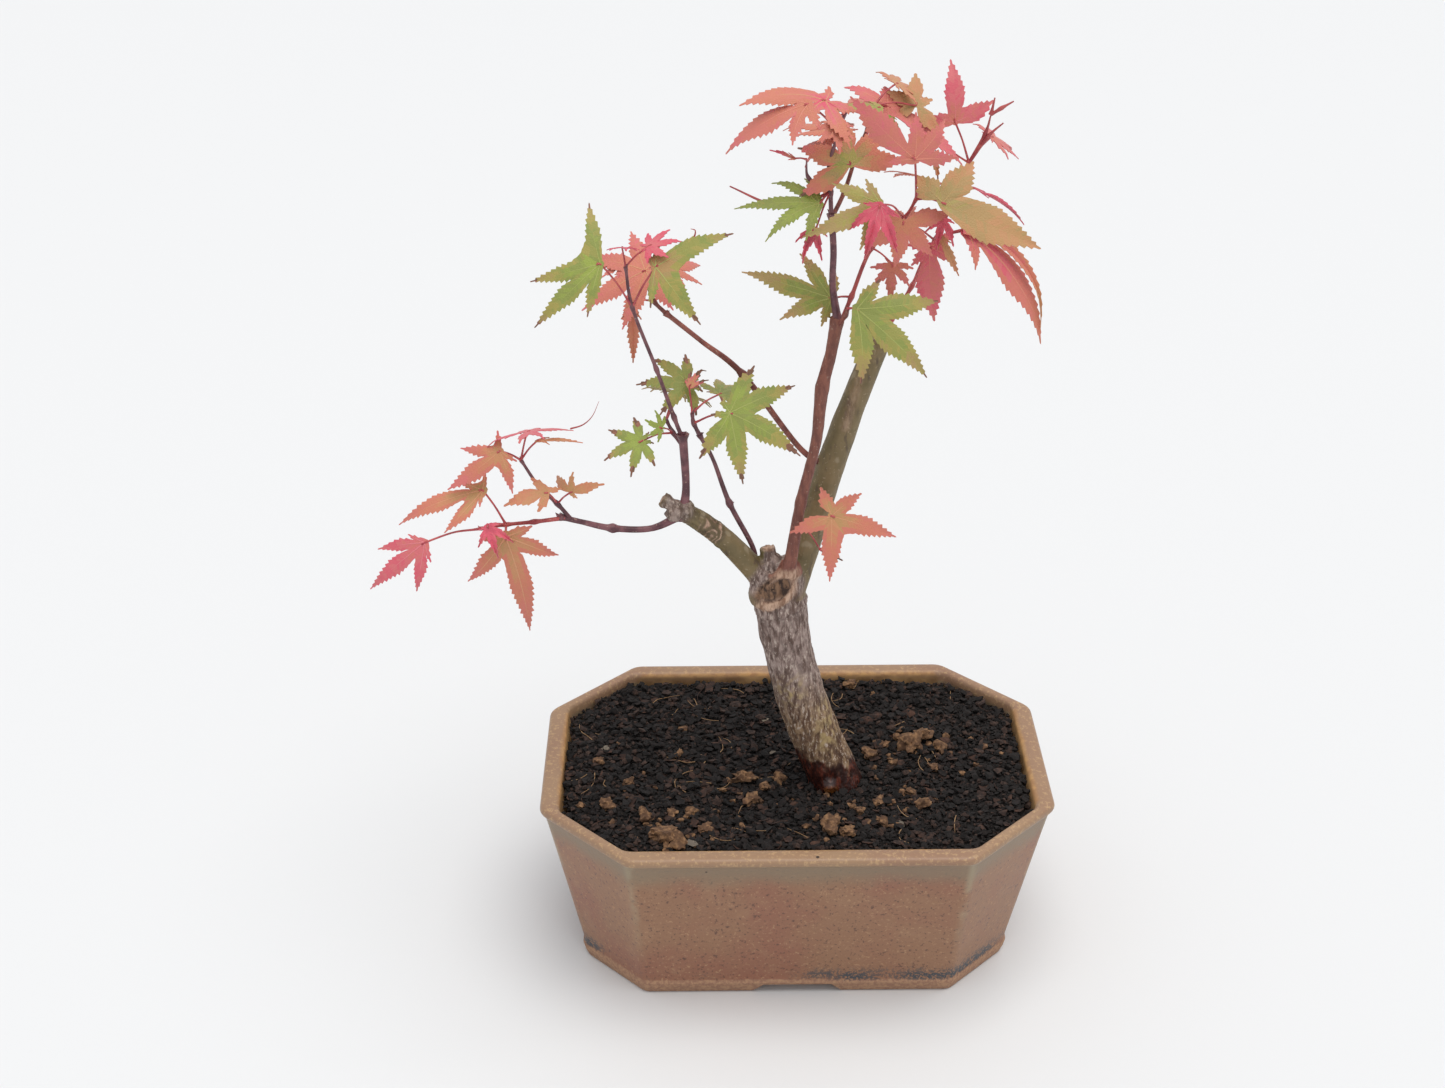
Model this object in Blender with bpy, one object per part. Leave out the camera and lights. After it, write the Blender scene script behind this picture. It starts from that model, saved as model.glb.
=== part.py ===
"""A japanese maple bonsai in its eight-sided glazed pot, whole.

The pot stands on four corner feet and is filled with soil to just under its rim. The trunk is cut
flat at the soil. It carries three boughs, the boughs carry thin limbs, and every limb ends in masses
of foliage: leaves with pointed lobes on thin stalks, set on the nodes of one stem and its side shoots.
Sizes are in millimetres, measured from the middle of the pot's underside: X to the right, Y to the
back, Z up. At the end all stands with the middle of its bounding box's floor at the world's origin.
"""

import math
import random

import bmesh
import bpy
from mathutils import Matrix, Vector
from mathutils.bvhtree import BVHTree

MM = 0.001
NAME = "maple_bonsai"
GAP = 0.3  # clearance between a piece and what carries it
WELD = 0.002  # corners closer than this are made one
SEED = 11

# The pot, eight-sided: length, width and the cut off each corner, at each height.
POT_HEIGHT = 76.0
RIM = (200.0, 140.0, 35.0)
BASE = (168.0, 108.0, 24.0)
RIM_WIDTH = 8.0
RIM_BAND = 4.0
RIM_LIP = 1.6
WALL = 9.0
FOOT_BAND = 5.5
FLOOR_TOP = 12.0
FOOT_HEIGHT = 4.5
FOOT_RING = 12.0
FRONT_ARCH = (38.0, 27.0)  # width at the ground and at the top
SIDE_ARCH = (26.0, 18.0)
DRAIN_RADIUS = 7.0
DRAIN_PLACES = (-38.0, 38.0)

# The soil.
SOIL_LEVEL = 70.0
SOIL_EDGE_RISE = 2.0
SOIL_BUMP = 1.0
SOIL_RINGS = (0.82, 0.62, 0.42)
SOIL_POINTS = 24
TRUNK_FOOT = (14.0, -8.5)
FOOT_CLEARING = 18.0  # radius of the flat ground round the trunk

# The trunk and the limbs: points along the middle, each with the radius there.
TRUNK = (
    ((17.0, -8.5, 58.0), 11.8),
    ((16.0, -8.5, 68.0), 11.0),
    ((14.2, -8.5, 75.0), 10.2),
    ((10.8, -8.5, 84.0), 10.0),
    ((2.5, -8.5, 107.0), 9.8),
    ((-3.3, -8.5, 130.0), 9.3),
    ((-6.8, -8.5, 152.0), 10.1),
    ((-8.2, -8.5, 162.0), 10.4),
    ((-9.0, -8.5, 168.0), 8.0),
)
CALLUSES = (  # over old cuts on the trunk's head, and a cut root at its foot
    ((-10.5, -9.0, 170.0), 4.6),
    ((-11.5, -12.0, 156.5), 6.4),
    ((13.0, -17.0, 73.0), 3.2),
)
LIMBS = {
    "bough_left": {
        "points": (
            ((-9.0, -9.0, 158.0), 4.8),
            ((-16.0, -10.0, 166.0), 4.6),
            ((-29.5, -14.0, 183.5), 4.0),
            ((-45.0, -18.0, 197.5), 3.6),
        ),
        "sides": 10,
        "stub": (((-43.0, -18.0, 195.0), 2.7), ((-50.5, -17.0, 200.5), 2.5)),
        "carriers": ("trunk",),
        "look": "olive_bark",
    },
    "bough_right": {
        "points": (
            ((-3.0, -7.0, 158.0), 6.4),
            ((1.0, -5.5, 170.0), 6.0),
            ((6.0, -3.0, 186.0), 5.6),
            ((10.8, 0.0, 202.0), 5.4),
            ((16.0, 2.0, 218.0), 5.2),
            ((19.8, 3.0, 229.5), 4.9),
            ((28.5, 5.0, 253.5), 4.4),
        ),
        "sides": 10,
        "carriers": ("trunk",),
        "look": "olive_bark",
    },
    "bough_front": {
        "points": (
            ((-5.0, -14.0, 160.0), 3.0),
            ((-3.5, -16.5, 173.0), 2.5),
            ((0.2, -17.0, 199.0), 2.1),
            ((5.2, -16.5, 223.0), 2.0),
            ((7.0, -15.5, 243.0), 2.5),
            ((10.0, -14.0, 257.0), 2.1),
            ((12.0, -14.0, 270.0), 2.6),
        ),
        "sides": 8,
        "carriers": ("trunk", "bough_right"),
        "look": "red_bark",
    },
    "limb_low": {
        "points": (
            ((-44.0, -18.0, 194.0), 1.9),
            ((-55.0, -19.5, 189.5), 1.5),
            ((-69.0, -22.0, 191.0), 1.4),
            ((-80.0, -24.5, 195.0), 1.4),
            ((-88.0, -26.0, 198.0), 1.9),
        ),
        "sides": 6,
        "carriers": ("bough_left",),
        "look": "dark_bark",
    },
    "limb_middle": {
        "points": (
            ((-43.0, -18.0, 196.0), 2.0),
            ((-42.0, -17.5, 206.0), 1.7),
            ((-43.0, -16.0, 226.0), 2.3),
        ),
        "sides": 6,
        "carriers": ("bough_left",),
        "look": "dark_bark",
    },
    "limb_inner": {
        "points": (
            ((-16.0, -9.0, 167.0), 1.4),
            ((-17.5, -6.5, 175.0), 1.3),
            ((-26.0, -8.5, 194.0), 1.3),
            ((-32.0, -10.5, 213.0), 1.0),
            ((-37.0, -12.0, 224.0), 1.1),
        ),
        "sides": 6,
        "carriers": ("bough_left", "trunk"),
        "look": "dark_bark",
    },
    "limb_back": {
        "points": (
            ((11.0, -0.5, 205.0), 1.6),
            ((0.0, 0.5, 212.5), 1.4),
            ((-21.0, 3.0, 241.0), 1.6),
            ((-36.0, 3.5, 254.0), 1.1),
            ((-49.0, 4.0, 265.0), 1.1),
        ),
        "sides": 6,
        "carriers": ("bough_right",),
        "look": "red_bark",
    },
    "limb_crown": {
        "points": (
            ((12.0, -14.0, 269.0), 1.8),
            ((10.0, -14.0, 282.0), 1.5),
            ((10.0, -14.0, 295.0), 1.5),
            ((9.0, -13.0, 308.0), 1.6),
        ),
        "sides": 6,
        "carriers": ("bough_front",),
        "look": "dark_bark",
    },
}

# The foliage. A stem and its side shoots are points along their middle. A leaf is the number of its
# node on the stem (or the name of a side shoot, for its tip), its stalk and its main lobe as
# vectors, how far its face leans to the front in degrees, and its form.
MASSES = {
    "foliage_low_outer": {
        "carriers": ("limb_low",),
        "stem": ((-86, -26, 197.5), (-97, -28, 197), (-107, -30, 197), (-116, -33, 197)),
        "leaves": (
            (3, (-20, -3, -4), (-21, -6, -17), 60, "pointed"),
            (2, (-6, -6, 3), (4, -6, -10), 40, "bunch"),
            (2, (0, -4, -3), (8, -3, -41), 65, "slender"),
            (2, (-8, 2, 13), (-32, -4, -7), 40, "slant"),
        ),
        "fill": 0,
        "space": ((-118, -26, 192), (48, 36, 48)),
        "look": "pink_leaf",
    },
    "foliage_low_inner": {
        "carriers": ("limb_low",),
        "stem": ((-84, -25.5, 197), (-88.5, -25.5, 203), (-95, -25, 210), (-101, -24, 220)),
        "leaves": (
            (3, (-7, -3, 5), (-20, -5, -12), 55, "mitten"),
            (3, (3, -2, 12), (16, 2, 2), -14, "flat"),
            (3, (6.5, -3, 9), (16, 1, 1), 0, "slim"),
            (1, (-3, -5, 7), (-15, -5, 0.5), 45, "plume"),
            (1, (5, -3, 6), (11, -5, 6), 45, "trio"),
        ),
        "fill": 0,
        "space": ((-94, -20, 220), (40, 38, 40)),
        "look": "orange_leaf",
    },
    "foliage_upper_left": {
        "carriers": ("limb_middle",),
        "stem": (
            (-43, -16, 224),
            (-46, -16.5, 233),
            (-52, -17, 252),
            (-60, -18, 276),
            (-62, -18, 291),
        ),
        "leaves": (
            (3, (-10.5, -4, 17.5), (-24, -4, -5), 60, "corner"),
            (3, (8.5, -2, 15.5), (24.5, -5, 15.5), 35, "clasp"),
            (4, (8, 4, 6), (11, -2, 4), 20, "star"),
            (4, (-1, 0, 7), (2, -7, 3), -24, "star"),
        ),
        "fill": 0,
        "space": ((-54, -14, 284), (52, 44, 48)),
        "look": "green_leaf",
    },
    "foliage_upper_back": {
        "carriers": ("limb_back",),
        "stem": ((-48, 4, 264), (-53, 4, 269.5), (-55, 5, 275)),
        "leaves": (
            (2, (-1, 2, 5), (-24, -8, -8), 40, "star"),
            (1, (-8, -6, 2), (0, -4, -23), 60, "slim"),
            (2, (-9, 7, 6), (-12, 2, -1), 20, "hand"),
        ),
        "fill": 2,
        "space": ((-56, 16, 272), (42, 38, 36)),
        "look": "orange_leaf",
    },
    "foliage_middle_left": {
        "carriers": ("limb_middle", "foliage_upper_left"),
        "stem": ((-43, -15.5, 221), (-46.5, -12.5, 225), (-49, -10, 229)),
        "leaves": (
            (2, (8, 8, 11), (-18, -5, 2), 40, "star"),
            (1, (-11, -11, 2), (-14, -4, -4), 45, "star"),
            (1, (-4, -9, 6), (-5, -3, 5), 45, "star"),
        ),
        "fill": 1,
        "space": ((-54, -4, 238), (40, 40, 38)),
        "look": "green_leaf",
    },
    "foliage_middle_right": {
        "carriers": ("limb_inner",),
        "stem": ((-36.5, -12, 223), (-39, -13, 229), (-39.5, -13, 233)),
        "leaves": (
            (1, (13, -9, 8), (25, -10, -10), 60, "star"),
            (2, (-1, 5, 8), (6, 7, 6), 30, "closed"),
            (2, (10, 12, 2), (13, 17, -3), 20, "hand"),
        ),
        "fill": 0,
        "space": ((-22, -4, 232), (46, 44, 42)),
        "look": "green_leaf",
    },
    "foliage_fork": {
        "carriers": ("bough_front",),
        "stem": ((-2, -16.5, 185), (1.5, -19, 189), (3, -20, 191)),
        "leaves": (
            (2, (8, -5, 6), (23, -5, -9), 60, "kite"),
            (1, (6, 2, -10), (9, -1, -4), 30, "slim"),
        ),
        "fill": 0,
        "space": ((10, -24, 186), (34, 24, 38)),
        "look": "orange_leaf",
    },
    "foliage_crown_left": {
        "carriers": ("limb_crown",),
        "stem": (
            (9, -13, 307),
            (8.5, -13.5, 316),
            (8, -13, 326),
            (11, -12, 336),
            (13, -11, 343),
        ),
        "shoots": {
            "spur": (1, (1, -14, 321), (0, -15, 328)),
            "bare": (1, (-2, -16, 312), (-12, -17.5, 313), (-26, -19, 320)),
        },
        "leaves": (
            (1, (-4, -4, -3), (-28, -5, 4), 40, "thin"),
            (1, (-5, -6, -11), (-5, -6, -9), 40, "bunch"),
            ("spur", (-4, -2, 1), (-8, -2, 4), 30, "slim"),
            (2, (7, -2, 0), (-5, 9, 16), 60, "palm"),
            (3, (-5, -2, 13), (-28, -6, 5), 30, "tongue"),
            (3, (-11, -6, 12), (-28, -7, -12), 35, "drape"),
            (4, (-4, -9, -1), (1, -8, -7), 50, "hand"),
        ),
        "fill": 0,
        "space": ((-6, -14, 325), (46, 42, 44)),
        "look": "salmon_leaf",
    },
    "foliage_crown_low": {
        "carriers": ("bough_front", "limb_crown"),
        "stem": ((12, -15, 267), (14.5, -19, 273), (15, -20.5, 276)),
        "leaves": ((2, (3, -3, 1), (26, -11, -19), 55, "half"),),
        "fill": 0,
        "space": ((20, -26, 270), (40, 30, 36)),
        "look": "green_leaf",
    },
    "foliage_crown_middle": {
        "carriers": ("bough_front", "limb_crown", "foliage_crown_low"),
        "stem": ((13, -13, 267), (17, -9.5, 276), (24, -6, 293), (35, -4, 303), (39, -4, 310)),
        "leaves": (
            (1, (-7, 1, -1), (-30, -1, 12), 45, "long"),
            (2, (0, -22, 24), (-25, -8, -8), 60, "long"),
            (3, (-11, -29, 15), (-5, -5, -18), 60, "bunch"),
            (4, (-3, -18, 20), (-22, 2, 20), 75, "fan"),
            (4, (8, -10, 2), (35, -8, -10), 56, "wing"),
            (3, (-1, -9, 2), (-2, -5, -15), 60, "palm"),
            (2, (7, -3, -5), (-1, -5, -12), 50, "hand"),
        ),
        "fill": 1,
        "space": ((26, -12, 300), (66, 52, 62)),
        "look": "olive_leaf",
    },
    "foliage_crown_right": {
        "carriers": ("bough_right",),
        "stem": (
            (28, 5, 250),
            (33, 6, 261),
            (40, 8, 273),
            (48, 12, 289),
            (55, 14, 305),
            (59, 14, 317),
        ),
        "shoots": {
            "tip": (5, (64, 13, 328), (65.5, 12, 335)),
            "tip_up": ("tip", (66.5, 12, 341)),
            "tip_side": ("tip", (69, 11.5, 337.5), (73, 11, 340)),
            "tip_low": (5, (65, 12.5, 327), (70, 12, 332)),
        },
        "leaves": (
            (3, (11, -4, 5), (33, -14, -33), 35, "sickle"),
            (3, (11, -5, 6), (32, -13, -28), 35, "strip"),
            (2, (5, -8, 18), (5, -8, -25), 50, "drop"),
            (3, (0, -14, 7), (7, -6, -13), 50, "slim"),
            (3, (1, -13, 13), (-3, -6, -9), 30, "bunch"),
            (4, (6, -4, 4), (19, -6, -8), -10, "slim"),
            (5, (-5.5, 1, 14.5), (-3.6, 6, 20.5), 70, "crest"),
            (5, (-14, 10, 4), (5, -5, -12), 40, "slim"),
        ),
        "fill": 3,
        "space": ((60, 12, 300), (54, 50, 64)),
        "look": "salmon_leaf",
    },
    "foliage_crown_top": {
        "carriers": ("limb_crown", "foliage_crown_left"),
        "stem": ((9.5, -12, 306.5), (14, -6, 314), (18, -1, 325), (22, 2, 334), (24, 4, 341)),
        "leaves": (
            (4, (5, 5, -2), (28, -8, -15), 20, "sash"),
            (3, (2, -4, 4), (1, -4, -8), 30, "bunch"),
            (3, (4, -1, 7), (-15, -4, 1), 30, "drape"),
            (3, (6, -4, 5), (3, -4, -8), 40, "closed"),
            (4, (15, 6, -2), (1, 8, 10), 60, "broad"),
            (2, (-4, 9, 6), (-20, 12, 2), 0, "hand"),
        ),
        "fill": 3,
        "space": ((20, 8, 330), (46, 46, 40)),
        "look": "salmon_leaf",
    },
}

# A leaf: the angles of its lobes from the main one, and for each form how far they are spread, half
# a lobe's width and the lobes' lengths, all as shares of the main lobe's length.
LOBE_ANGLES = (-118, -76, -38, 0, 38, 76, 118)
LEAF_FORMS = {
    "star": (1.25, 0.14, (0, 0.68, 0.88, 1.0, 0.88, 0.68, 0)),
    "hand": (1.05, 0.15, (0, 0.6, 0.78, 1.0, 0.78, 0.6, 0)),
    "half": (1.25, 0.14, (0, 0.4, 0.88, 1.0, 0.75, 0, 0)),
    "kite": (1.7, 0.14, (0, 0.45, 0.55, 1.0, 0.95, 0.65, 0)),
    "long": (1.15, 0.12, (0, 0.34, 0.62, 1.0, 0.62, 0.34, 0)),
    "thin": (0.9, 0.09, (0, 0.5, 0.8, 1.0, 0.62, 0.4, 0)),
    "wing": (2.1, 0.19, (0, 0.36, 0.5, 1.0, 0, 0, 0)),
    "corner": (0.8, 0.12, (0, 0.75, 1.25, 1.0, 0, 0, 0.9)),
    "clasp": (0.96, 0.15, (0.3, 0.35, 0, 1.0, 0, 0.95, 0.5)),
    "slender": (1.3, 0.1, (0, 0.25, 0.5, 1.0, 0.55, 0.22, 0)),
    "pointed": (0.9, 0.11, (0, 0.27, 0.66, 1.0, 0.64, 0.25, 0)),
    "mitten": (0.95, 0.17, (0.3, 0.66, 0, 1.0, 0.62, 0, 0.32)),
    "flat": (1.45, 0.14, (0.95, 0.6, 0.55, 1.0, 0.6, 0.6, 0)),
    "plume": (1.4, 0.2, (0, 0, 0.5, 1.0, 0.52, 0, 0.35)),
    "trio": (1.08, 0.17, (0.9, 0.6, 0, 1.0, 0.3, 0, 0)),
    "slant": (0.9, 0.1, (0, 0.2, 0.62, 1.0, 0.28, 0, 0.22)),
    "tongue": (1.45, 0.13, (0.42, 0.65, 0.35, 1.0, 0, 0.26, 0)),
    "drape": (1.1, 0.14, (0, 0.35, 0.5, 1.0, 0.3, 0, 0)),
    "palm": (1.35, 0.2, (0, 1.05, 1.0, 1.0, 0.95, 1.0, 0)),
    "fan": (1.2, 0.16, (0, 0, 0.3, 1.0, 0.52, 0.56, 0.5)),
    "sash": (1.5, 0.13, (0.5, 0.35, 0.4, 1.0, 0.35, 0.3, 0)),
    "broad": (1.7, 0.22, (0, 0.6, 0.9, 1.0, 0.5, 1.0, 0)),
    "crest": (1.8, 0.17, (0, 0, 0.45, 1.0, 0.72, 0, 0)),
    "bunch": (1.0, 0.15, (0, 0.4, 0.9, 1.0, 0.7, 0.3, 0)),
    "drop": (1.4, 0.2, (0, 0.35, 0.4, 1.0, 0.35, 0.3, 0)),
    "sickle": (0.9, 0.1, (0, 0, 0.3, 1.0, 0.3, 0, 0)),
    "strip": (0.8, 0.06, (0, 0, 0, 1.0, 0, 0, 0)),
    "closed": (0.75, 0.13, (0, 0.4, 0.72, 1.0, 0.72, 0.4, 0)),
    "slim": (0.8, 0.12, (0, 0, 0.32, 1.0, 0.32, 0, 0)),
}
LOBE_WIDEST = 0.5
LOBE_STRAY = 4.0  # degrees by which a lobe may stray
SINUS = (0.3, 0.04)  # how far out two lobes part: a share of the shorter one, and a little more
LEAF_HEEL = 0.06
LEAF_DROOP = 0.16
LEAF_THICKNESS = 0.5
STALK_RADIUS = 0.55
STALK_SINK = 1.8  # how far a stalk runs on inside its leaf
SHOOT_RADII = (1.0, 0.75)
NODE_RADIUS = 1.3
SHOOT_SIDES = 6

# The leaves that the rule adds behind the ones in front.
FILL_STALK = (9.0, 15.0)
FILL_BLADE = (17.0, 25.0)
FILL_RISE = (10.0, 45.0)
FILL_HEADINGS = (25.0, 155.0)
FILL_FACING = 30.0

# Colours (sRGB 0 to 1) and roughness.
LOOKS = {
    "pot_glaze": ((0.57, 0.42, 0.31), 0.5),
    "potting_soil": ((0.12, 0.09, 0.07), 0.95),
    "grey_bark": ((0.42, 0.35, 0.30), 0.85),
    "olive_bark": ((0.42, 0.36, 0.24), 0.6),
    "red_bark": ((0.45, 0.20, 0.16), 0.5),
    "dark_bark": ((0.30, 0.13, 0.13), 0.5),
    "green_leaf": ((0.52, 0.58, 0.26), 0.55),
    "olive_leaf": ((0.66, 0.56, 0.34), 0.55),
    "orange_leaf": ((0.80, 0.43, 0.30), 0.55),
    "salmon_leaf": ((0.82, 0.46, 0.40), 0.55),
    "pink_leaf": ((0.80, 0.30, 0.34), 0.55),
}


def linear(channel):
    """One sRGB channel made linear."""
    if channel <= 0.04045:
        return channel / 12.92
    return ((channel + 0.055) / 1.055) ** 2.4


def material(name):
    """The Principled material of this name, made once."""
    found = bpy.data.materials.get(name)
    if found:
        return found
    colour, roughness = LOOKS[name]
    made = bpy.data.materials.new(name)
    made.use_nodes = True
    shader = made.node_tree.nodes["Principled BSDF"]
    shader.inputs["Base Color"].default_value = (*map(linear, colour), 1.0)
    shader.inputs["Roughness"].default_value = roughness
    made.diffuse_color = shader.inputs["Base Color"].default_value
    return made


def add_mesh(name, bm, collection, look):
    """An object with this bmesh's shape, its faces turned outwards."""
    bmesh.ops.recalc_face_normals(bm, faces=bm.faces[:])
    mesh = bpy.data.meshes.new(name)
    bm.to_mesh(mesh)
    bm.free()
    obj = bpy.data.objects.new(name, mesh)
    collection.objects.link(obj)
    mesh.materials.append(material(look))
    return obj


def apply_modifiers(obj):
    """Gives the object its evaluated mesh, with doubles welded, and drops its modifiers."""
    graph = bpy.context.evaluated_depsgraph_get()
    mesh = bpy.data.meshes.new_from_object(obj.evaluated_get(graph))
    bm = bmesh.new()
    bm.from_mesh(mesh)
    bmesh.ops.remove_doubles(bm, verts=bm.verts[:], dist=WELD * MM)
    loose = [edge for edge in bm.edges if edge.is_wire]
    bmesh.ops.delete(bm, geom=loose, context="EDGES")
    bm.to_mesh(mesh)
    bm.free()
    obj.modifiers.clear()
    old = obj.data
    obj.data = mesh
    bpy.data.meshes.remove(old)


def octagon(length, width, cut, height):
    """The corners of a rectangle with its corners cut off, counter-clockwise seen from above."""
    x, y = length / 2, width / 2
    corners = ((x - cut, -y), (x, -y + cut), (x, y - cut), (x - cut, y))
    mirrored = [(-a, b) for a, b in reversed(corners)]
    return [Vector((a, b, height)) * MM for a, b in (*corners, *mirrored)]


def grown(outline, by):
    """An outline (length, width, cut) moved outwards by a distance on every side."""
    length, width, cut = outline
    return length + 2 * by, width + 2 * by, cut + 2 * by * (1 - math.tan(math.pi / 8))


def outer_wall(height):
    """The outline of the pot's outer wall at a height, between base and rim."""
    share = height / POT_HEIGHT
    return tuple(a + (b - a) * share for a, b in zip(BASE, RIM))


def loft(rings):
    """A closed bmesh through rings of points, capped at both ends."""
    bm = bmesh.new()
    rows = [[bm.verts.new(point) for point in ring] for ring in rings]
    count = len(rows[0])
    for low, high in zip(rows, rows[1:]):
        for i in range(count):
            j = (i + 1) % count
            bm.faces.new((low[i], low[j], high[j], high[i]))
    bm.faces.new(reversed(rows[0]))
    bm.faces.new(rows[-1])
    return bm


def arch_cutter(name, widths, length, along_x, collection):
    """A bar with sloping sides, which opens an arch under the pot from one side to the other."""
    bottom, top = widths
    rings = []
    for end in (-length / 2, length / 2):
        profile = ((-bottom / 2, -1.0), (bottom / 2, -1.0), (top / 2, FOOT_HEIGHT), (-top / 2, FOOT_HEIGHT))
        if along_x:
            rings.append([Vector((end, across, height)) * MM for across, height in profile])
        else:
            rings.append([Vector((across, end, height)) * MM for across, height in profile])
    return add_mesh(name, loft(rings), collection, "pot_glaze")


def cut_away(obj, cutter):
    """Takes the cutter's shape out of the object and applies it."""
    modifier = obj.modifiers.new("cut", "BOOLEAN")
    modifier.operation = "DIFFERENCE"
    modifier.solver = "EXACT"
    modifier.use_self = True
    modifier.object = cutter
    apply_modifiers(obj)


def make_pot(parts, cutters):
    """The pot: a lofted shell with a rim, a foot band, four arches and two drain holes."""
    crease = POT_HEIGHT - RIM_BAND
    wall_top = grown(outer_wall(crease), -1.2)
    inner_rim = grown(RIM, -RIM_WIDTH)
    inner_floor = grown(outer_wall(FLOOR_TOP), -WALL)
    rings = [
        octagon(*BASE, 0),
        octagon(*grown(outer_wall(FOOT_BAND), 0.4), FOOT_BAND),
        octagon(*grown(outer_wall(FOOT_BAND + 1), -0.5), FOOT_BAND + 1),
        octagon(*wall_top, crease - 1),
        octagon(*grown(RIM, -0.4), crease),
        octagon(*RIM, POT_HEIGHT - RIM_LIP),
        octagon(*grown(RIM, -RIM_LIP), POT_HEIGHT),
        octagon(*grown(inner_rim, RIM_LIP), POT_HEIGHT),
        octagon(*inner_rim, POT_HEIGHT - RIM_LIP),
        octagon(*inner_floor, FLOOR_TOP),
    ]
    pot = add_mesh("pot", loft(rings), parts, "pot_glaze")
    reach = RIM[0] + 20
    ring_inside = grown(BASE, -FOOT_RING)
    recess = add_mesh(
        "recess_cutter",
        loft([octagon(*ring_inside, -1), octagon(*ring_inside, FOOT_HEIGHT)]),
        cutters,
        "pot_glaze",
    )
    tools = [
        recess,
        arch_cutter("arch_cutter_front", FRONT_ARCH, reach, False, cutters),
        arch_cutter("arch_cutter_side", SIDE_ARCH, reach, True, cutters),
    ]
    for place in DRAIN_PLACES:
        bm = bmesh.new()
        bmesh.ops.create_cone(
            bm,
            cap_ends=True,
            segments=16,
            radius1=DRAIN_RADIUS * MM,
            radius2=DRAIN_RADIUS * MM,
            depth=4 * FLOOR_TOP * MM,
            matrix=Matrix.Translation((place * MM, 0, 0)),
        )
        tools.append(add_mesh("drain_cutter", bm, cutters, "pot_glaze"))
    for tool in tools:
        cut_away(pot, tool)
    return pot


def along(outline, count):
    """Points spread evenly along a closed outline."""
    sides = list(zip(outline, outline[1:] + outline[:1]))
    step = sum((b - a).length for a, b in sides) / count
    points, left = [], 0.0
    for a, b in sides:
        length = (b - a).length
        while left < length - 1e-9 and len(points) < count:
            points.append(a.lerp(b, left / length))
            left += step
        left -= length
    return points


def make_soil(parts):
    """The soil: fills the pot, uneven on top, flat where the trunk stands."""
    rng = random.Random(SEED)
    inner_rim = grown(RIM, -RIM_WIDTH)
    inner_floor = grown(outer_wall(FLOOR_TOP), -WALL)

    def inside(height):
        share = (height - FLOOR_TOP) / (POT_HEIGHT - RIM_LIP - FLOOR_TOP)
        outline = tuple(a + (b - a) * share for a, b in zip(inner_floor, inner_rim))
        return octagon(*grown(outline, -GAP), height)

    edge_height = SOIL_LEVEL + SOIL_EDGE_RISE
    edge = along(inside(edge_height), SOIL_POINTS)
    floor = along(inside(FLOOR_TOP + GAP), SOIL_POINTS)
    foot = Vector((*TRUNK_FOOT, SOIL_LEVEL)) * MM
    rings = [floor, edge]
    for share in SOIL_RINGS:
        ring = []
        for point in edge:
            spot = foot.lerp(point, share)
            spot.z += rng.uniform(-SOIL_BUMP, SOIL_BUMP) * MM * share
            ring.append(spot)
        rings.append(ring)
    clearing = []
    for point in edge:
        away = (point - foot).to_2d().normalized() * FOOT_CLEARING * MM
        clearing.append(foot + Vector((*away, 0)))
    rings.append(clearing)
    return add_mesh("soil", loft(rings), parts, "potting_soil")


def smooth_path(points, steps):
    """Points and radii read from a smooth curve through the given ones, in metres."""
    spots = [Vector(spot) for spot, _ in points]
    radii = [radius for _, radius in points]
    spots = [2 * spots[0] - spots[1], *spots, 2 * spots[-1] - spots[-2]]
    radii = [radii[0], *radii, radii[-1]]
    path = []
    for i in range(1, len(spots) - 2):
        p0, p1, p2, p3 = spots[i - 1 : i + 3]
        for step in range(steps):
            t = step / steps
            spot = 0.5 * (
                2 * p1
                + (p2 - p0) * t
                + (2 * p0 - 5 * p1 + 4 * p2 - p3) * t**2
                + (3 * p1 - p0 - 3 * p2 + p3) * t**3
            )
            path.append((spot * MM, (radii[i] + (radii[i + 1] - radii[i]) * t) * MM))
    path.append((spots[-2] * MM, radii[-2] * MM))
    return path


def tube(name, path, sides, collection, look):
    """A round, tapering tube along a path of (point, radius), as a welded mesh."""
    curve = bpy.data.curves.new(name, "CURVE")
    curve.dimensions = "3D"
    curve.bevel_depth = 1.0
    curve.bevel_resolution = (sides - 4) // 2
    curve.use_fill_caps = True
    spline = curve.splines.new("POLY")
    spline.points.add(len(path) - 1)
    for point, (spot, radius) in zip(spline.points, path):
        point.co = (*spot, 1.0)
        point.radius = radius
    drawn = bpy.data.objects.new(name + "_curve", curve)
    collection.objects.link(drawn)
    graph = bpy.context.evaluated_depsgraph_get()
    mesh = bpy.data.meshes.new_from_object(drawn.evaluated_get(graph))
    bm = bmesh.new()
    bm.from_mesh(mesh)
    bmesh.ops.remove_doubles(bm, verts=bm.verts[:], dist=WELD * MM)
    obj = add_mesh(name, bm, collection, look)
    obj.matrix_world = drawn.matrix_world
    bpy.data.meshes.remove(mesh)
    bpy.data.objects.remove(drawn)
    bpy.data.curves.remove(curve)
    return obj


def union_with(obj, pieces):
    """Joins loose pieces to the object by one Boolean union, applies it and removes the pieces."""
    group = bpy.data.collections.new("joined")
    for piece in pieces:
        for owner in piece.users_collection:
            owner.objects.unlink(piece)
        group.objects.link(piece)
    bpy.context.scene.collection.children.link(group)
    modifier = obj.modifiers.new("union", "BOOLEAN")
    modifier.operation = "UNION"
    modifier.solver = "EXACT"
    modifier.operand_type = "COLLECTION"
    modifier.collection = group
    apply_modifiers(obj)
    for piece in pieces:
        bpy.data.objects.remove(piece)
    bpy.data.collections.remove(group)


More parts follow.
